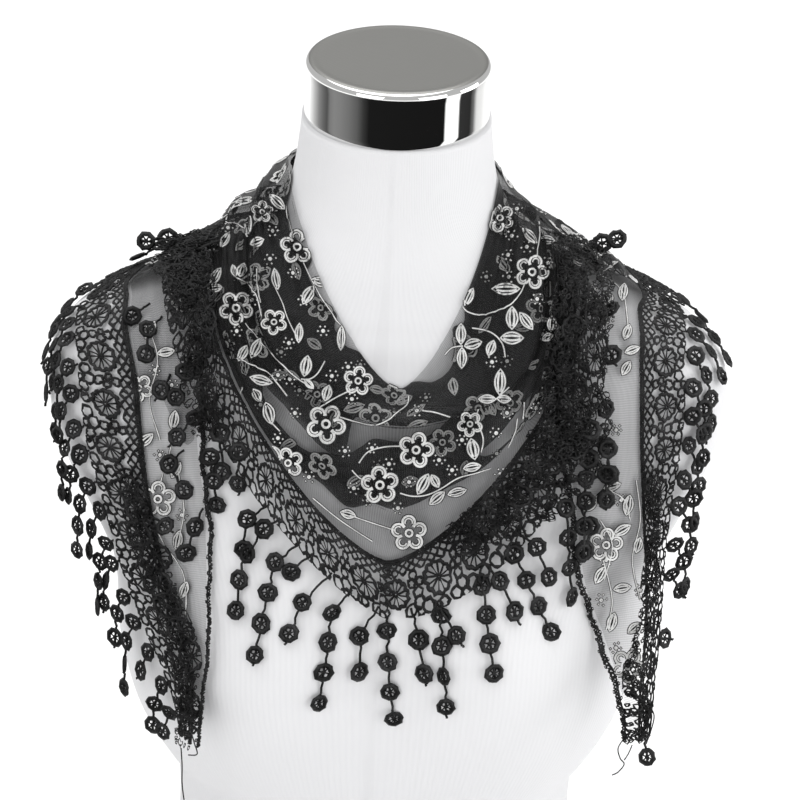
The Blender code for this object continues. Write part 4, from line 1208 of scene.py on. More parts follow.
def cast_on(name, look):
    """Where a sight line meets a host cloth, the normal on the camera's side, and how far off."""
    hit, face_normal, _, reach = host_trees[name].ray_cast(EYE_POINT, look, SIGHT_REACH)
    if hit is None:
        return None
    return hit, face_normal if face_normal.dot(look) < 0 else -face_normal, reach


def cloth_at(pixel):
    """The host cloth that shows at a pixel, the point, its normal and how far off it is."""
    found = [(name, *met) for name in SEEN_HOSTS if (met := cast_on(name, sight_line(*pixel)))]
    return min(found, key=lambda met: met[3], default=None)


def work_at(pixel, lines):
    """Lay a motif where it shows, as flat in the picture as the photograph has it."""
    found = cloth_at(pixel)
    if found is None:
        return
    name, centre, _, depth = found
    turned = CAMERA_TURN.to_3x3()
    right, up = turned @ Vector((1, 0, 0)), turned @ Vector((0, 1, 0))
    for path, wide, closed in lines:
        runs, unbroken = [[]], True
        for x, y in path:
            look = (centre + right * x + up * y - EYE_POINT).normalized()
            met = cast_on(name, look)
            if met is None or abs(met[2] - depth) > SEEN_DEPTH:
                unbroken = False
                runs.append([])
            else:
                runs[-1].append((met[0], (met[1] - look).normalized()))
        for run in runs:
            if len(run) > 2:
                sew(name, *zip(*run), wide, closed and unbroken)


def work_stem(pixels):
    """A stem through pixels, broken where it passes from one fold to another."""
    rows = [np.array(pixel, float) for pixel in pixels]
    runs, last = [], None
    for place in np.linspace(0, len(rows) - 1, STEM_POINTS * (len(rows) - 1) + 1):
        found = cloth_at(through_rows(rows, place))
        if found is None:
            last = None
            continue
        if last is None or found[0] != last[0] or (found[1] - last[1]).length > STEM_BREAK:
            runs.append((found[0], [], []))
        runs[-1][1].append(found[1])
        runs[-1][2].append(found[2])
        last = found
    for name, points, normals in runs:
        if len(points) > 2:
            sew(name, points, normals, STEM_WIDE, False, STEM_CROWN, STEM_EDGE)


draw = np.random.default_rng(MOTIF_SEED)
for x, y, wide, turn in FLOWERS_PX:
    work_at((x, y), flower_lines(wide, turn))
for x, y, length, wide, turn in LEAVES_PX:
    work_at((x, y), leaf_lines(length, wide, turn))
for pixel in DOTS_PX:
    work_at(pixel, dot_lines())
for pixels in STEMS_PX:
    work_stem(pixels)


def lay_flat(name, lines, centre, right, normal):
    """Lay a motif on a host cloth that doesn't show, flat about a point."""
    normal = Vector(normal).normalized()
    right = (Vector(right) - normal * normal.dot(Vector(right))).normalized()
    up = normal.cross(right)
    for path, wide, closed in lines:
        points, normals = [], []
        for x, y in path:
            spot = Vector(centre) + right * x + up * y
            foot, face_normal, _, _ = host_trees[name].find_nearest(spot)
            points.append(foot)
            normals.append(face_normal if face_normal.dot(normal) > 0 else -face_normal)
        sew(name, points, normals, wide, closed)


def work_repeat(name, points):
    """Flowers, leaves and knots in a loose seeded repeat over one stretch of cloth."""
    rows, columns = points.shape[:2]
    long = np.linalg.norm(np.diff(points, axis=1), axis=2).mean(axis=0).sum()
    deep = np.linalg.norm(np.diff(points, axis=0), axis=2).mean(axis=1).sum()
    across, down = max(int(long / REPEAT_PITCH), 1), max(int(deep / REPEAT_PITCH * 1.3), 1)
    normals, away = grid_normals(points)
    normals = normals if away else -normals
    for a in range(across):
        for b in range(down):
            i = (b + 0.5 + draw.uniform(-0.25, 0.25)) / down
            j = (a + 0.5 + 0.5 * (b % 2) + draw.uniform(-0.2, 0.2)) / across
            i, j = int(i * (rows - 1)), int(min(j, 0.98) * (columns - 1))
            kind = (a + 2 * b) % 4
            lines = (flower_lines(draw.uniform(16, 20), draw.uniform(0, 72)) if kind == 0 else
                     dot_lines() if kind == 2 else
                     leaf_lines(draw.uniform(9, 13), draw.uniform(4.4, 5.8), draw.uniform(0, 180)))
            ahead = points[i, min(j + 1, columns - 1)] - points[i, j - 1]
            lay_flat(name, lines, points[i, j], ahead, normals[i, j])


for name in ("upper_turn", "lower_turn"):
    work_repeat(name, turn_points[name])
for name in ("wrap_over", "wrap_under"):
    work_repeat(name, end_points[name])

for name, (threads, edges) in worked.items():
    if not threads:
        continue
    points, faces = gather_work(threads + edges)
    pale_faces = sum(len(part_faces) for _, part_faces in threads)
    embroidery = make_piece(name + "_embroidery", points, faces, pale_thread)
    embroidery.data.materials.append(guipure)
    slots = np.zeros(len(faces), np.int32)
    slots[pale_faces:] = 1
    embroidery.data.polygons.foreach_set("material_index", slots)
    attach(embroidery, "root")

# ------------------------------------------------------------------ narrow braids
# A flat braid of three black cotton strands with small picots runs along both tails' plain edge,
# where it is sewn to the net and hangs just outside it.
BRAID_GAP = 0.5
BRAID_LIFT = 2.3
BRAID_COLUMNS = 200
BRAID_LINES = (0.0, 0.12)    # the plain edge, and a line inside it that tells the way out
BRAID_SAMPLE = 0.7
PLAIT_PITCH = 5.6
PICOT_PITCH = 4.2
STRAND_CORD = (1.15, 1.3)    # each cord's section: width and height
PICOT_CORD = (0.85, 1.2)
BRAID_JITTER = 0.17
BRAIDS = (               # node, end, from, to, width
    ("right_tail_braid", OVER_END, 7.4, OVER_TIP, 5.2),
    ("left_tail_braid", UNDER_END, 7.1, UNDER_TIP, 3.8),
)
braids = {}
for node, rows, start, end, wide in BRAIDS:
    alongs = even_alongs(rows, start, end, BRAID_COLUMNS, BRAID_LINES[0])
    lines = end_grid(rows, alongs, BRAID_LINES)
    away = unit(lines[0] - lines[1])
    place = np.arange(len(alongs))
    sway = 0.8 * np.sin(place / 7.3) + 0.6 * np.sin(place / 3.1 + 1)
    grid = np.array([[over_form(edge + out * (BRAID_GAP + swing + wide * share), BRAID_LIFT, 0)
                      for edge, out, swing in zip(lines[0], away, sway)] for share in (0, 0.5, 1)])
    band = band_frame(grid)
    length = band[2][-1]
    s = np.linspace(0, length, int(length / BRAID_SAMPLE))
    parts = []
    for strand in range(3):
        phase = 2 * math.pi * (s / PLAIT_PITCH + strand / 3 + 0.12 * np.sin(s / 9 + strand))
        path = np.stack([s, wide / 2 * (1 + 0.55 * np.sin(phase)), 0.6 * np.cos(2 * phase)], axis=1)
        parts.append(cord_run(path, *STRAND_CORD))
    for picot in range(int(length / PICOT_PITCH)):
        middle = (PICOT_PITCH * (picot + 0.5) + draw.normal(0, 0.5),
                  wide * (0.12 + 0.76 * (picot % 2)))
        loop = circle(middle, draw.uniform(0.7, 1.2), 6)
        parts.append(cord_run(loop, *PICOT_CORD, closed=True))
    points, faces = gather_work(parts)
    points += draw.normal(0, BRAID_JITTER, points.shape)
    points[:, 0] = np.clip(points[:, 0], 0, length)
    points[:, 1] *= LACE_WIDTH / wide
    braid = make_piece(node + "_plait", lay_on_band(points, band), faces, guipure)
    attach(braid, "root")
    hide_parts(node)
    braids[node] = braid

# ------------------------------------------------------------------ bunched lace
# On both shoulders, along the bib's right side and down the tails the black cord lace is bunched up
# into a dense tangle, which lies loose on top of the cloth. A few thread ends hang from it.
BUNCHES = (              # piece, sheet it lies on, fullness, pixels on its two sides, row by row
    ("right_shoulder_bunch", "wrap_over", 0.8, (
        (552, 233, 602, 246), (558, 262, 614, 272), (550, 312, 612, 322), (545, 350, 606, 356),
        (540, 386, 608, 392), (534, 418, 610, 424), (520, 446, 600, 458))),
    ("right_bib_bunch", "front_drape", 0.8, (
        (546, 424, 606, 440), (528, 448, 594, 478), (508, 472, 570, 508), (484, 494, 534, 530),
        (458, 516, 494, 548), (436, 534, 464, 560))),
    ("left_shoulder_bunch", "wrap_under", 0.66, (
        (150, 240, 226, 224), (148, 262, 218, 256), (164, 300, 216, 302), (180, 336, 220, 336),
        (182, 372, 218, 376), (184, 408, 224, 414), (192, 436, 228, 446))),
    ("left_tail_bunch", "left_tail", 0.5, (
        (118, 470, 142, 474), (124, 520, 154, 520), (134, 560, 172, 556), (148, 600, 182, 598),
        (162, 636, 196, 632), (172, 664, 202, 662), (174, 692, 200, 692), (174, 722, 202, 720),
        (175, 752, 190, 752))),
    ("right_tail_bunch", "right_tail", 1.3, (
        (642, 470, 664, 474), (647, 530, 661, 530), (640, 584, 659, 584), (637, 624, 655, 624),
        (624, 662, 643, 662), (622, 692, 648, 692), (624, 718, 652, 718), (624, 742, 648, 742))),
)
LOOSE_THREADS = {        # bunch: the pixels that each loose end runs through
    "left_tail_bunch": (((181, 748), (182, 765), (182, 783), (184, 800)),
                        ((190, 728), (194, 742), (197, 754), (188, 755))),
    "right_tail_bunch": (((624, 738), (618, 748), (620, 758), (624, 764), (618, 772), (612, 775)),
                         ((650, 706), (654, 716), (651, 730), (646, 744)),
                         ((632, 745), (628, 754), (624, 760))),
}
LOOSE_DEPTH = -104.0     # the upright plane in which the loose ends hang
LOOSE_CORD = 0.9
BUNCH_GRID = (15, 60)    # rows across a bunch and columns down it
BUNCH_CORD = (0.95, 0.9) # each cord's section: width and height
BUNCH_LOOP = (0.95, 0.8)
BUNCH_STEP = 0.9
BUNCH_STEPS = 18
BUNCH_CURLS = 0.016      # wandering cords in a square millimetre
BUNCH_RINGS = 0.085      # small loops in a square millimetre
BUNCH_ROSETTES = 15      # from one buried rosette to the next
BUNCH_HEIGHT = 2.4
BUNCH_LIFT = 1.0
BUNCH_EDGE = 0.2         # no cord's middle comes nearer to the strip's edge


def in_plane(look, plane_y):
    """Where a sight line meets the upright plane at plane_y."""
    return EYE_POINT + look * ((plane_y - EYE_POINT.y) / look.y)


def cord_in_space(path, wide):
    """A thin three-sided cord along a path in space."""
    path = np.asarray(path, float)
    ahead = unit(way_ahead(path))
    side = unit(np.cross(ahead, (0.3, 1, 0.1)))
    third = np.cross(ahead, side)
    turns = [2 * math.pi * k / 3 for k in range(3)]
    rings = np.stack([path + (side * math.cos(turn) + third * math.sin(turn)) * wide / 2
                      for turn in turns], axis=1)
    return rings.reshape(-1, 3), sweep_faces(len(path), 3, turned=True) + end_caps(len(path), 3)


def bunch_grid(stations, below):
    """A loose layer over the cloth below it that shows between each station's two pixels."""
    rows, columns = BUNCH_GRID
    stations = np.array(stations, float)
    depth, looks = np.zeros((rows, columns)), np.zeros((rows, columns, 3))
    for j, place in enumerate(np.linspace(0, len(stations) - 1, columns)):
        row = through_rows(stations, place)
        for i, share in enumerate(np.linspace(0, 1, rows)):
            look = sight_line(*(row[:2] + (row[2:] - row[:2]) * share))
            looks[i, j] = look
            reach = below.ray_cast(EYE_POINT, look, SIGHT_REACH)[3]
            depth[i, j] = np.nan if reach is None else reach
    hits = ~np.isnan(depth).all(axis=0)
    usual = np.interp(np.arange(columns), np.flatnonzero(hits), np.nanmedian(depth[:, hits], axis=0))
    depth = np.where(np.isnan(depth), usual, depth)
    for softening in range(3):
        padded = np.pad(depth, 1, mode="edge")
        around = np.stack([padded[a:a + rows, b:b + columns] for a in range(3) for b in range(3)])
        depth = 0.5 * around.min(axis=0) + 0.5 * around.mean(axis=0)
    return np.array(EYE_POINT) + looks * (depth - BUNCH_LIFT)[..., None]


def tangle(length, wide, fullness, draw):
    """Wandering curled cords and small loops that fill a strip, in millimetres along and across."""
    parts = []
    for curl in range(int(length * wide * BUNCH_CURLS * fullness)):
        here = np.array([draw.uniform(1, length - 1), draw.uniform(0.5, wide - 0.5)])
        heading, bend = draw.uniform(0, 2 * math.pi), draw.uniform(-0.8, 0.8)
        high, path = draw.uniform(0.2, BUNCH_HEIGHT), []
        for k in range(BUNCH_STEPS):
            path.append((*here, high + 0.5 * math.sin(0.7 * k)))
            bend = 0.8 * bend + draw.normal(0, 0.42)
            heading += bend
            here = np.clip(here + BUNCH_STEP * toward(heading), BUNCH_EDGE,
                           (length - BUNCH_EDGE, wide - BUNCH_EDGE))
        parts.append(cord_run(path, *BUNCH_CORD))
    for ring in range(int(length * wide * BUNCH_RINGS * fullness)):
        middle = (draw.uniform(1.5, length - 1.5), draw.uniform(1, wide - 1))
        flat = circle(middle, draw.uniform(0.9, 1.9), 7, 0.25, 3, draw.uniform(0, 2))
        lean = draw.normal(0, 0.5, 2)
        high = draw.uniform(0.2, BUNCH_HEIGHT) + (flat - middle) @ lean
        parts.append(cord_run(np.column_stack([flat, high]), *BUNCH_LOOP, closed=True))
    return parts


all_cloth = tree_of(dress_form, front_drape, *end_nets.values(), *laces.values())
for name, carrier, fullness, stations in BUNCHES:
    below = all_cloth
    if carrier.endswith("tail"):
        below = tree_of(end_nets[carrier], laces[carrier + "_lace"])
    band = band_frame(bunch_grid(stations, below))
    length = band[2][-1]
    wide = np.linalg.norm(np.diff(band[0], axis=0), axis=2).sum(axis=0).mean()
    parts = tangle(length, wide, fullness, draw)
    for k in range(int(length / BUNCH_ROSETTES)):
        middle = (BUNCH_ROSETTES * (k + 0.6) + draw.uniform(-2, 2), draw.uniform(0.25, 0.75) * wide)
        if wide > 2 * ROSETTE_RADIUS:
            parts += rosette(middle, draw)
    points, faces = gather_work(parts)
    points[:, 1] *= LACE_WIDTH / wide
    parts = [(lay_on_band(points, band), faces)]
    for pixels in LOOSE_THREADS.get(name, ()):
        pixels = np.array(pixels, float)
        path = [in_plane(sight_line(*through_rows(pixels, place)), LOOSE_DEPTH)
                for place in np.linspace(0, len(pixels) - 1, 6 * len(pixels))]
        parts.append(cord_in_space(path, LOOSE_CORD))
    bunch = make_piece(name, *gather_work(parts), guipure)
    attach(bunch, "root")

# ------------------------------------------------------------------ medallion fringe
# Short twisted cords hang from the lace's outer edge, most with two to four round medallions
# crocheted onto them: a bumpy rim, six spokes and a small hub.
MEDALLION_PITCH = 15.0
FIRST_MEDALLION = 6.5
MEDALLION_RADIUS = 6.0
STRAND_LIFT = 3.2
FRINGE_CORD = 1.75
STEP = 2.0
GRAVITY = Vector((0, 0, -1))
RIM_CIRCLE = (4.3, 16, 0.26, 8)      # radius, corners, wobble and bumps
RIM_CORD = (3.1, 2.0)                # each cord's section: width and height
CORE_CORD = (1.7, 2.2)
BAR_CORD = (0.95, 1.2)
BAR_REACH = 3.4
HANG_CLEAR = 4.5         # a hanging cord keeps this far off the cloth it crosses
CORD_KINK = 0.45
LONG_TAILS = 0.35        # this share of the cords reaches well past the last medallion
MEDALLION_TWIST = 0.24
MEDALLION_SPIN = 0.8
MEDALLION_SIZES = ((0.93, 0.93, 0.9), (1.1, 1.1, 1.2))


def medallion_object():
    """One crocheted medallion, flat in its own x and y, to be repeated."""
    rim = circle((0, 0), *RIM_CIRCLE)
    rim[::3] *= 1.05         # crochet is never quite even
    rim[2::5] *= 0.95
    parts = [cord_run(rim, *RIM_CORD, closed=True),
             cord_run(circle((0.15, 0.0), 0.8, 5), *CORE_CORD, closed=True)]
    for bar in range(3):
        reach = toward(math.pi * bar / 3 + 0.12 * (-1) ** bar)
        parts.append(cord_run([-reach * BAR_REACH, reach * BAR_REACH], *BAR_CORD))
    points, faces = gather_work(parts)
    return make_piece("fringe_medallion", points, faces, guipure)


medallion = medallion_object()


def fringe_tree():
    """Geometry Nodes that set a medallion on each marked point and keep the cords."""
    tree = bpy.data.node_groups.new("set_medallions", "GeometryNodeTree")
    tree.interface.new_socket("Geometry", in_out="INPUT", socket_type="NodeSocketGeometry")
    size = tree.interface.new_socket("Medallion Size", in_out="INPUT", socket_type="NodeSocketFloat")
    size.default_value = 1.0
    tree.interface.new_socket("Geometry", in_out="OUTPUT", socket_type="NodeSocketGeometry")
    start = add_node(tree, "NodeGroupInput")

    def read(name, kind):
        return add_node(tree, "GeometryNodeInputNamedAttribute", {"Name": name},
                        data_type=kind).outputs["Attribute"]

    parted = add_node(tree, "GeometryNodeSeparateGeometry",
                      {"Geometry": start.outputs["Geometry"],
                       "Selection": read("medallion", "BOOLEAN")}, domain="POINT")
    shape = add_node(tree, "GeometryNodeObjectInfo", {"Object": medallion})
    turned = add_node(tree, "FunctionNodeEulerToRotation", {"Euler": read("turn", "FLOAT_VECTOR")})
    scaled = add_node(tree, "ShaderNodeVectorMath", {"Vector": read("size", "FLOAT_VECTOR"),
                                                     "Scale": start.outputs["Medallion Size"]},
                      operation="SCALE")
    placed = add_node(tree, "GeometryNodeInstanceOnPoints",
                      {"Points": parted.outputs["Selection"], "Instance": shape.outputs["Geometry"],
                       "Rotation": turned.outputs["Rotation"], "Scale": scaled.outputs["Vector"]})
    joined = add_node(tree, "GeometryNodeJoinGeometry")
    tree.links.new(parted.outputs["Inverted"], joined.inputs["Geometry"])
    tree.links.new(placed.outputs["Instances"], joined.inputs["Geometry"])
    solid = add_node(tree, "GeometryNodeRealizeInstances", {"Geometry": joined.outputs["Geometry"]})
    finish = add_node(tree, "GeometryNodeSetMaterial", {"Geometry": solid.outputs["Geometry"],
                                                        "Material": guipure})
    add_node(tree, "NodeGroupOutput", {"Geometry": finish.outputs["Geometry"]})
    return tree, size.identifier


set_medallions, size_input = fringe_tree()


def outward(point):
    """The direction away from the form at a point."""
    foot, face_normal, _, distance = SKIN.find_nearest(Vector(point))
    away = Vector(point) - foot
    return away.normalized() if distance > TOO_NEAR else face_normal


def kept_off(point, tree, clear):
    """A point, moved off the nearest face of a tree to the given distance where it is nearer."""
    foot, _, _, distance = tree.find_nearest(point, clear)
    if foot is None or distance >= clear:
        return point
    return foot + (point - foot).normalized() * clear


def hang(start, heading, medallions, fall, below=None):
    """The middles of a hanging cord's medallions, stepping down over the form from its start."""
    here, heading = Vector(start), Vector(heading).normalized()
    stops = [FIRST_MEDALLION + MEDALLION_PITCH * k + draw.uniform(-1.5, 1.5)
             for k in range(medallions)]
    walked, middles = 0.0, []
    for stop in stops:
        while walked < stop - 1e-6:
            step = min(STEP, stop - walked)
            heading = (heading + GRAVITY * fall * step).normalized()
            ahead = over_form(here + heading * step, STRAND_LIFT, 0)
            if below is not None:
                ahead = kept_off(ahead, below, HANG_CLEAR)
            heading = (ahead - here).normalized()
            here = here + heading * step
            walked += step
        middles.append(here.copy())
    return middles


def make_fringe(name, node, chains, facing=()):
    """Cords and medallions; each chain is its root and the middles of its medallions.

    The medallions of the facing chains face the camera, the others face away from the form.
    """
    parts, centres, turns, sizes = [], [], [], []
    for number, chain in enumerate((*chains, *facing)):
        past = draw.uniform(1.1, 1.5) if draw.random() < LONG_TAILS else 0.6
        end = chain[-1] + (chain[-1] - chain[-2]).normalized() * MEDALLION_RADIUS * past
        stops = [*chain, end]
        path = []
        for a, b in zip(stops, stops[1:]):
            for share in np.linspace(0, 1, 7)[:-1]:
                kink = draw.normal(0, CORD_KINK, 3) * (share > 0)
                path.append(a.lerp(b, share) + Vector(kink))
        parts.append(cord_in_space([*path, end], FRINGE_CORD))
        for k in range(1, len(chain)):
            down = (chain[k] - chain[k - 1]).normalized()
            normal = outward(chain[k]) if number < len(chains) else EYE_POINT - chain[k]
            normal = (normal - down * normal.dot(down)).normalized()
            normal.rotate(Matrix.Rotation(draw.normal(0, MEDALLION_TWIST), 3, down))
            across = down.cross(normal).normalized()
            basis = Matrix((across, down, across.cross(down))).transposed()
            spin = Matrix.Rotation(draw.uniform(0, MEDALLION_SPIN), 3, "Z")
            centres.append(chain[k])
            turns.append((basis @ spin).to_euler())
            sizes.append(draw.uniform(*MEDALLION_SIZES))
    points, faces = gather_work(parts)
    cords = len(points)
    points = np.concatenate([points, centres])
    fringe = make_piece(name, points, faces, guipure)
    mesh = fringe.data
    for label, kind, field, values in (
            ("medallion", "BOOLEAN", "value", np.ones(len(centres), bool)),
            ("turn", "FLOAT_VECTOR", "vector", np.array(turns, np.float32)),
            ("size", "FLOAT_VECTOR", "vector", np.array(sizes, np.float32))):
        padding = np.zeros((cords, *values.shape[1:]), values.dtype)
        layer = mesh.attributes.new(label, kind, "POINT")
        layer.data.foreach_set(field, np.concatenate([padding, values]).ravel())
    setter = fringe.modifiers.new("medallions", "NODES")
    setter.node_group = set_medallions
    setter[size_input] = 1.0
    bpy.context.view_layer.update()
    made = bpy.data.meshes.new_from_object(
        fringe.evaluated_get(bpy.context.evaluated_depsgraph_get()))
    fringe.modifiers.clear()
    fringe.data = made
    made.name = name
    made.shade_smooth()
    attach(fringe, "root")
    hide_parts(node)
    return fringe


def band_edge(band, share):
    """A point on a band's outer edge and the direction in which the lace runs out there."""
    grid, _, walked = band
    column = np.interp(share * walked[-1], walked, np.arange(len(walked)))
    j = min(int(column), len(walked) - 2)
    edge = grid[-1, j] + (grid[-1, j + 1] - grid[-1, j]) * (column - j)
    inner = grid[-4, j] + (grid[-4, j + 1] - grid[-4, j]) * (column - j)
    return Vector(edge), Vector(edge - inner).normalized()


over_tails = tree_of(end_nets["right_tail"], end_nets["left_tail"], laces["right_tail_lace"],
                     laces["left_tail_lace"], *braids.values())

# The bib's cords as they show: the picture's pixel of the first and of the last medallion, and
# how many there are. Each hangs from the nearest point of the lace's edge.
BIB_CHAINS_PX = (
    (220, 433, 222, 471, 2), (238, 452, 238, 484, 2), (210, 457, 217, 505, 3),
    (247, 519, 238, 610, 4), (264, 529, 247, 554, 2), (275, 562, 256, 654, 4),
    (291, 572, 291, 572, 1), (302, 602, 289, 633, 2), (331, 612, 318, 700, 4),
    (358, 635, 358, 670, 2), (387, 631, 394, 719, 4), (420, 639, 426, 672, 2),
    (441, 616, 447, 704, 4), (457, 635, 457, 635, 1), (482, 586, 493, 672, 4),
    (500, 581, 513, 611, 2), (514, 554, 551, 632, 4), (537, 547, 549, 577, 2),
    (566, 508, 572, 597, 4), (586, 501, 582, 552, 3), (589, 459, 586, 478, 2),
    (608, 449, 606, 500, 3),
)
BIB_CHAIN_LIFT = 3.0
BIB_ROOT_ROW = -3        # the cords are sewn to this row of the lace's grid, near its edge
TAIL_CLEAR = 5.0         # the bib's medallions keep this far off the tails


def seen_point(pixel, plane_y, lift):
    """The point seen at a pixel: on the form, or in the upright plane at plane_y in front of it."""
    look = sight_line(*pixel)
    plane = in_plane(look, plane_y)
    hit, _, _, _ = SKIN.ray_cast(EYE_POINT, look)
    if hit is not None and hit.y < plane.y:
        return hit + outward(hit) * lift
    return plane


def bib_chains(side):
    """The chains of one half of the bib, with their roots on that half's lace edge."""
    band = bands["drape_lace_" + side]
    edge = [Vector(point) for point in band[0][BIB_ROOT_ROW]]
    chains = []
    for x0, y0, x1, y1, count in BIB_CHAINS_PX:
        if (x0 < PICTURE / 2) != (side == "left"):
            continue
        first = seen_point((x0, y0), 0.0, BIB_CHAIN_LIFT)
        root = min(edge, key=lambda point: (point - first).length)
        chain = [root]
        for k in range(count):
            share = k / max(count - 1, 1)
            pixel = (x0 + (x1 - x0) * share, y0 + (y1 - y0) * share)
            middle = seen_point(pixel, root.y, BIB_CHAIN_LIFT)
            chain.append(kept_off(middle, over_tails, TAIL_CLEAR))
        chains.append(chain)
    return chains


def edge_chains(band, lengths, start, end, fall, below=None):
    """Chains evenly spaced along a band's outer edge, hung by their own weight."""
    chains = []
    for k, medallions in enumerate(lengths):
        if not medallions:
            continue
        share = start + (end - start) * (k + 0.5 + draw.uniform(-0.18, 0.18)) / len(lengths)
        root, heading = band_edge(band, share)
        chains.append([root] + hang(root, heading, medallions, fall, below))
    return chains


FRINGES = (              # stretch, medallions on each cord along it, from, to, fall
    ("left_tail", (3, 4, 3, 4, 3, 4, 3, 4, 3, 4, 3, 3, 4, 2, 3, 2), 0.01, 0.97, 0.11),
    ("right_tail", (3, 3, 4, 3, 3, 3, 3, 3, 3, 2, 0, 1, 0, 0), 0.01, 0.97, 0.11),
    ("wrap_over", (2, 2, 3, 2, 3, 2, 3, 2, 3, 2, 3, 2, 3), 0.01, 0.99, 0.06),
    ("wrap_under", (2, 3, 2, 3, 2, 3), 0.2, 0.99, 0.06),
)
SEEN_CHAINS_PX = {       # stretch: the picture's pixels of each cord's root and its medallions
    "left_tail": (
        ((150, 303), (132, 316)), ((162, 316), (148, 329), (146, 354)), ((192, 352), (185, 372)),
        ((170, 374), (161, 390)), ((184, 380), (176, 397)), ((204, 402), (195, 418), (177, 437)),
        ((184, 450), (169, 464), (184, 490)), ((203, 508), (195, 527), (186, 553)),
        ((150, 515), (165, 526))),
    "right_tail": (
        ((604, 292), (611, 309)), ((604, 336), (612, 355)), ((600, 393), (606, 409)),
        ((586, 412), (591, 430), (589, 457)), ((604, 430), (607, 447), (610, 475), (606, 499)),
        ((578, 500), (590, 526), (585, 550)), ((645, 738), (647, 757))),
    "wrap_under": (((180, 246), (168, 238), (146, 241)),),
    "wrap_over": (((592, 248), (602, 243), (617, 239)),),
}
SEEN_LIFT = 3.6
SEEN_DROP = 15.0         # a chain goes on level where what shows lies further back than this


def seen_chains(pixel_chains):
    """Chains laid over whatever shows first at their pixels, or level with their last point."""
    chains = []
    for pixels in pixel_chains:
        chain = []
        for pixel in pixels:
            look = sight_line(*pixel)
            reach = all_cloth.ray_cast(EYE_POINT, look, SIGHT_REACH)[3]
            if chain:
                level = (chain[-1] - EYE_POINT).length
                far = reach is None or reach > level + SEEN_DROP
                reach = level if far else reach - SEEN_LIFT
            elif reach is None:
                reach = DISTANCE / METRE
            chain.append(EYE_POINT + look * reach)
        chains.append(chain)
    return chains


for side in ("left", "right"):
    node = "drape_fringe_" + side
    make_fringe(node + "_cords", node, bib_chains(side))
over_wrap = tree_of(end_nets["wrap_under"], laces["wrap_under_lace"])
for stretch, lengths, start, end, fall in FRINGES:
    node = stretch + "_fringe"
    below = over_wrap if stretch == "wrap_over" else None
    chains = edge_chains(bands[stretch + "_lace"], lengths, start, end, fall, below)
    make_fringe(node + "_cords", node, chains, seen_chains(SEEN_CHAINS_PX[stretch]))
bpy.data.objects.remove(medallion, do_unlink=True)

# ------------------------------------------------------------------ flat sizes of the cloth
# What each stretch of cloth measures when it is laid flat, what it lies on, and its bunch, as a table
# that nothing below uses; the loop only looks up each end's braid. Flat sizes are in metres.
END_SHEETS = (           # end, flat size, what it rests on, its bunch
    ("wrap_over", (0.07, 0.31), ["dress_form_jersey", "wrap_under_net"], "right_shoulder_bunch"),
    ("wrap_under", (0.062, 0.30), ["dress_form_jersey"], "left_shoulder_bunch"),
    ("right_tail", (0.042, 0.29), ["dress_form_jersey"], "right_tail_bunch"),
    ("left_tail", (0.038, 0.29), ["dress_form_jersey"], "left_tail_bunch"),
)
for node, flat, below, bunch in END_SHEETS:
    braid = [braids[node + "_braid"]] if node + "_braid" in braids else []

# ------------------------------------------------------------------ studio
# A plain white floor that fills the view, a soft white sky, a broad overhead light and three soft
# lamps. A fan of card lies round the form on the floor, in tones that only reflections show.
FLOOR_SIZE = 30.0
SKY_LIGHT = 0.50
OVERHEAD_LIGHT = 2.1
OVERHEAD_ANGLE = math.radians(75)
OVERHEAD_TURN = (math.radians(-4), math.radians(-6), 0)
LAMP_AIM = (0, 0, 0.15)
LAMPS = (                # name, place, size and power
    ("key_light", (-1.4, -2.2, 1.1), 1.5, 14.0), ("fill_light", (1.8, -1.9, 0.9), 1.6, 15.0),
    ("side_light", (1.9, 0.2, 0.7), 1.0, 11.0),
)
CARD_REACH = (230, 2300)     # the card's inner and outer radius
CARD_HEIGHT = 2.0
CARD_STEP = 1.5          # degrees from one spoke of the fan to the next
CARD_TONES = (           # degrees round from straight ahead, and how pale the card is there
    (-136, 0.85), (-122, 0.42), (-112, 0.20), (-104, 0.12), (-96, 0.07), (-91, 0.16), (-84, 0.19),
    (-74, 0.17), (-62, 0.13), (-50, 0.08), (-42, 0.03), (-34, 0.008), (62, 0.006), (65, 0.9),
    (82, 0.9), (85, 0.02), (103, 0.015), (110, 0.10), (117, 0.50), (128, 0.62), (140, 0.85),
)


def floor_material():
    made, tree, shader = start_material("white_floor")
    tone = remap(tree, noise(tree, object_place(tree), 1.5, 2.0), 0.93, 0.96)
    set_inputs(tree, shader, {"Base Color": tone, "Roughness": 0.9, "Specular IOR Level": 0.0})
    return made


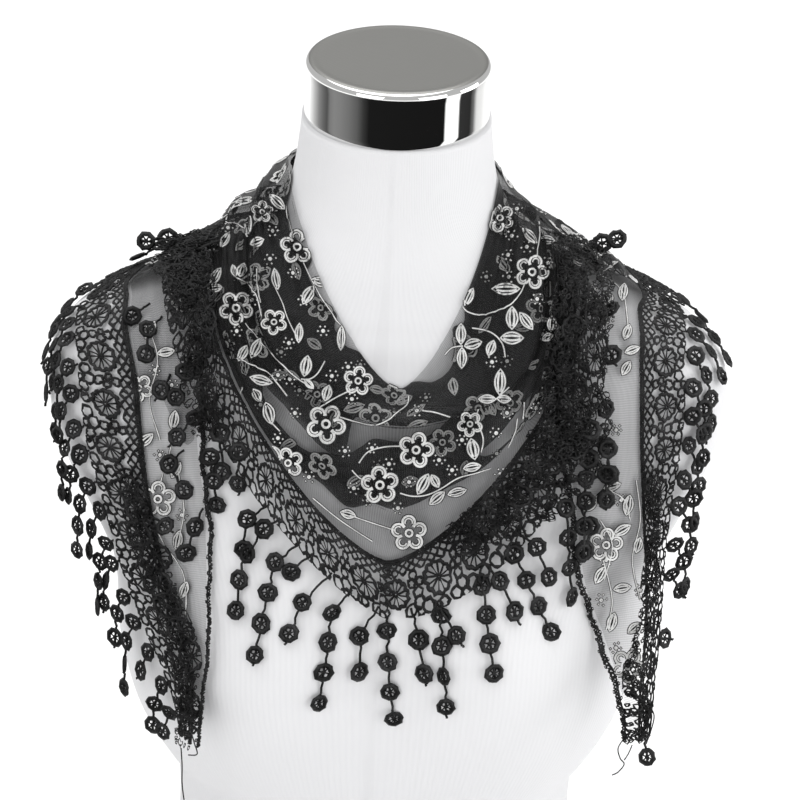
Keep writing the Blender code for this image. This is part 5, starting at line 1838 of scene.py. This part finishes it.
half = FLOOR_SIZE / 2 / METRE
floor = make_piece("studio_floor", [(-half, -half, 0), (half, -half, 0), (half, half, 0),
                                    (-half, half, 0)], [(0, 1, 2, 3)], floor_material())


def card_material():
    """Matt card whose tone comes from the card's own attribute."""
    made, tree, shader = start_material("studio_card")
    tone = add_node(tree, "ShaderNodeAttribute", attribute_name="tone")
    set_inputs(tree, shader, {"Base Color": tone.outputs["Color"], "Roughness": 1.0,
                              "Specular IOR Level": 0.0})
    return made


def make_card():
    """A fan of flat card on the floor, seen only in the polished cap."""
    spots, paleness = np.array(CARD_TONES, float).T
    degrees = np.unique(np.concatenate([np.arange(spots[0], spots[-1], CARD_STEP), spots]))
    turn = np.radians(degrees)
    points = np.concatenate([np.stack([reach * np.sin(turn), -reach * np.cos(turn),
                                       np.full(len(turn), CARD_HEIGHT)], axis=1)
                             for reach in CARD_REACH])
    card = make_piece("studio_card", points, grid_faces(2, len(turn))[:, ::-1], card_material())
    tones = np.interp(degrees, spots, paleness)
    paint = card.data.attributes.new("tone", "FLOAT_COLOR", "POINT")
    paint.data.foreach_set("color", np.repeat(np.tile(tones, 2), 4).astype(np.float32))
    for kind in ("camera", "diffuse", "shadow", "transmission"):
        setattr(card, "visible_" + kind, False)


make_card()

world = bpy.data.worlds.new("studio")
world.use_nodes = True
set_inputs(world.node_tree, world.node_tree.nodes["Background"],
           {"Color": (1, 1, 1, 1), "Strength": SKY_LIGHT})
bpy.context.scene.world = world

overhead_data = bpy.data.lights.new("overhead_light", "SUN")
overhead_data.energy = OVERHEAD_LIGHT
overhead_data.angle = OVERHEAD_ANGLE
overhead = bpy.data.objects.new("overhead_light", overhead_data)
overhead.rotation_euler = OVERHEAD_TURN
bpy.context.scene.collection.objects.link(overhead)

for name, place, size, power in LAMPS:
    lamp_data = bpy.data.lights.new(name, "AREA")
    lamp_data.size = size
    lamp_data.energy = power
    lamp = bpy.data.objects.new(name, lamp_data)
    lamp.location = place
    lamp.rotation_euler = (Vector(LAMP_AIM) - Vector(place)).to_track_quat("-Z", "Y").to_euler()
    bpy.context.scene.collection.objects.link(lamp)
bpy.context.scene.view_settings.view_transform = "Standard"
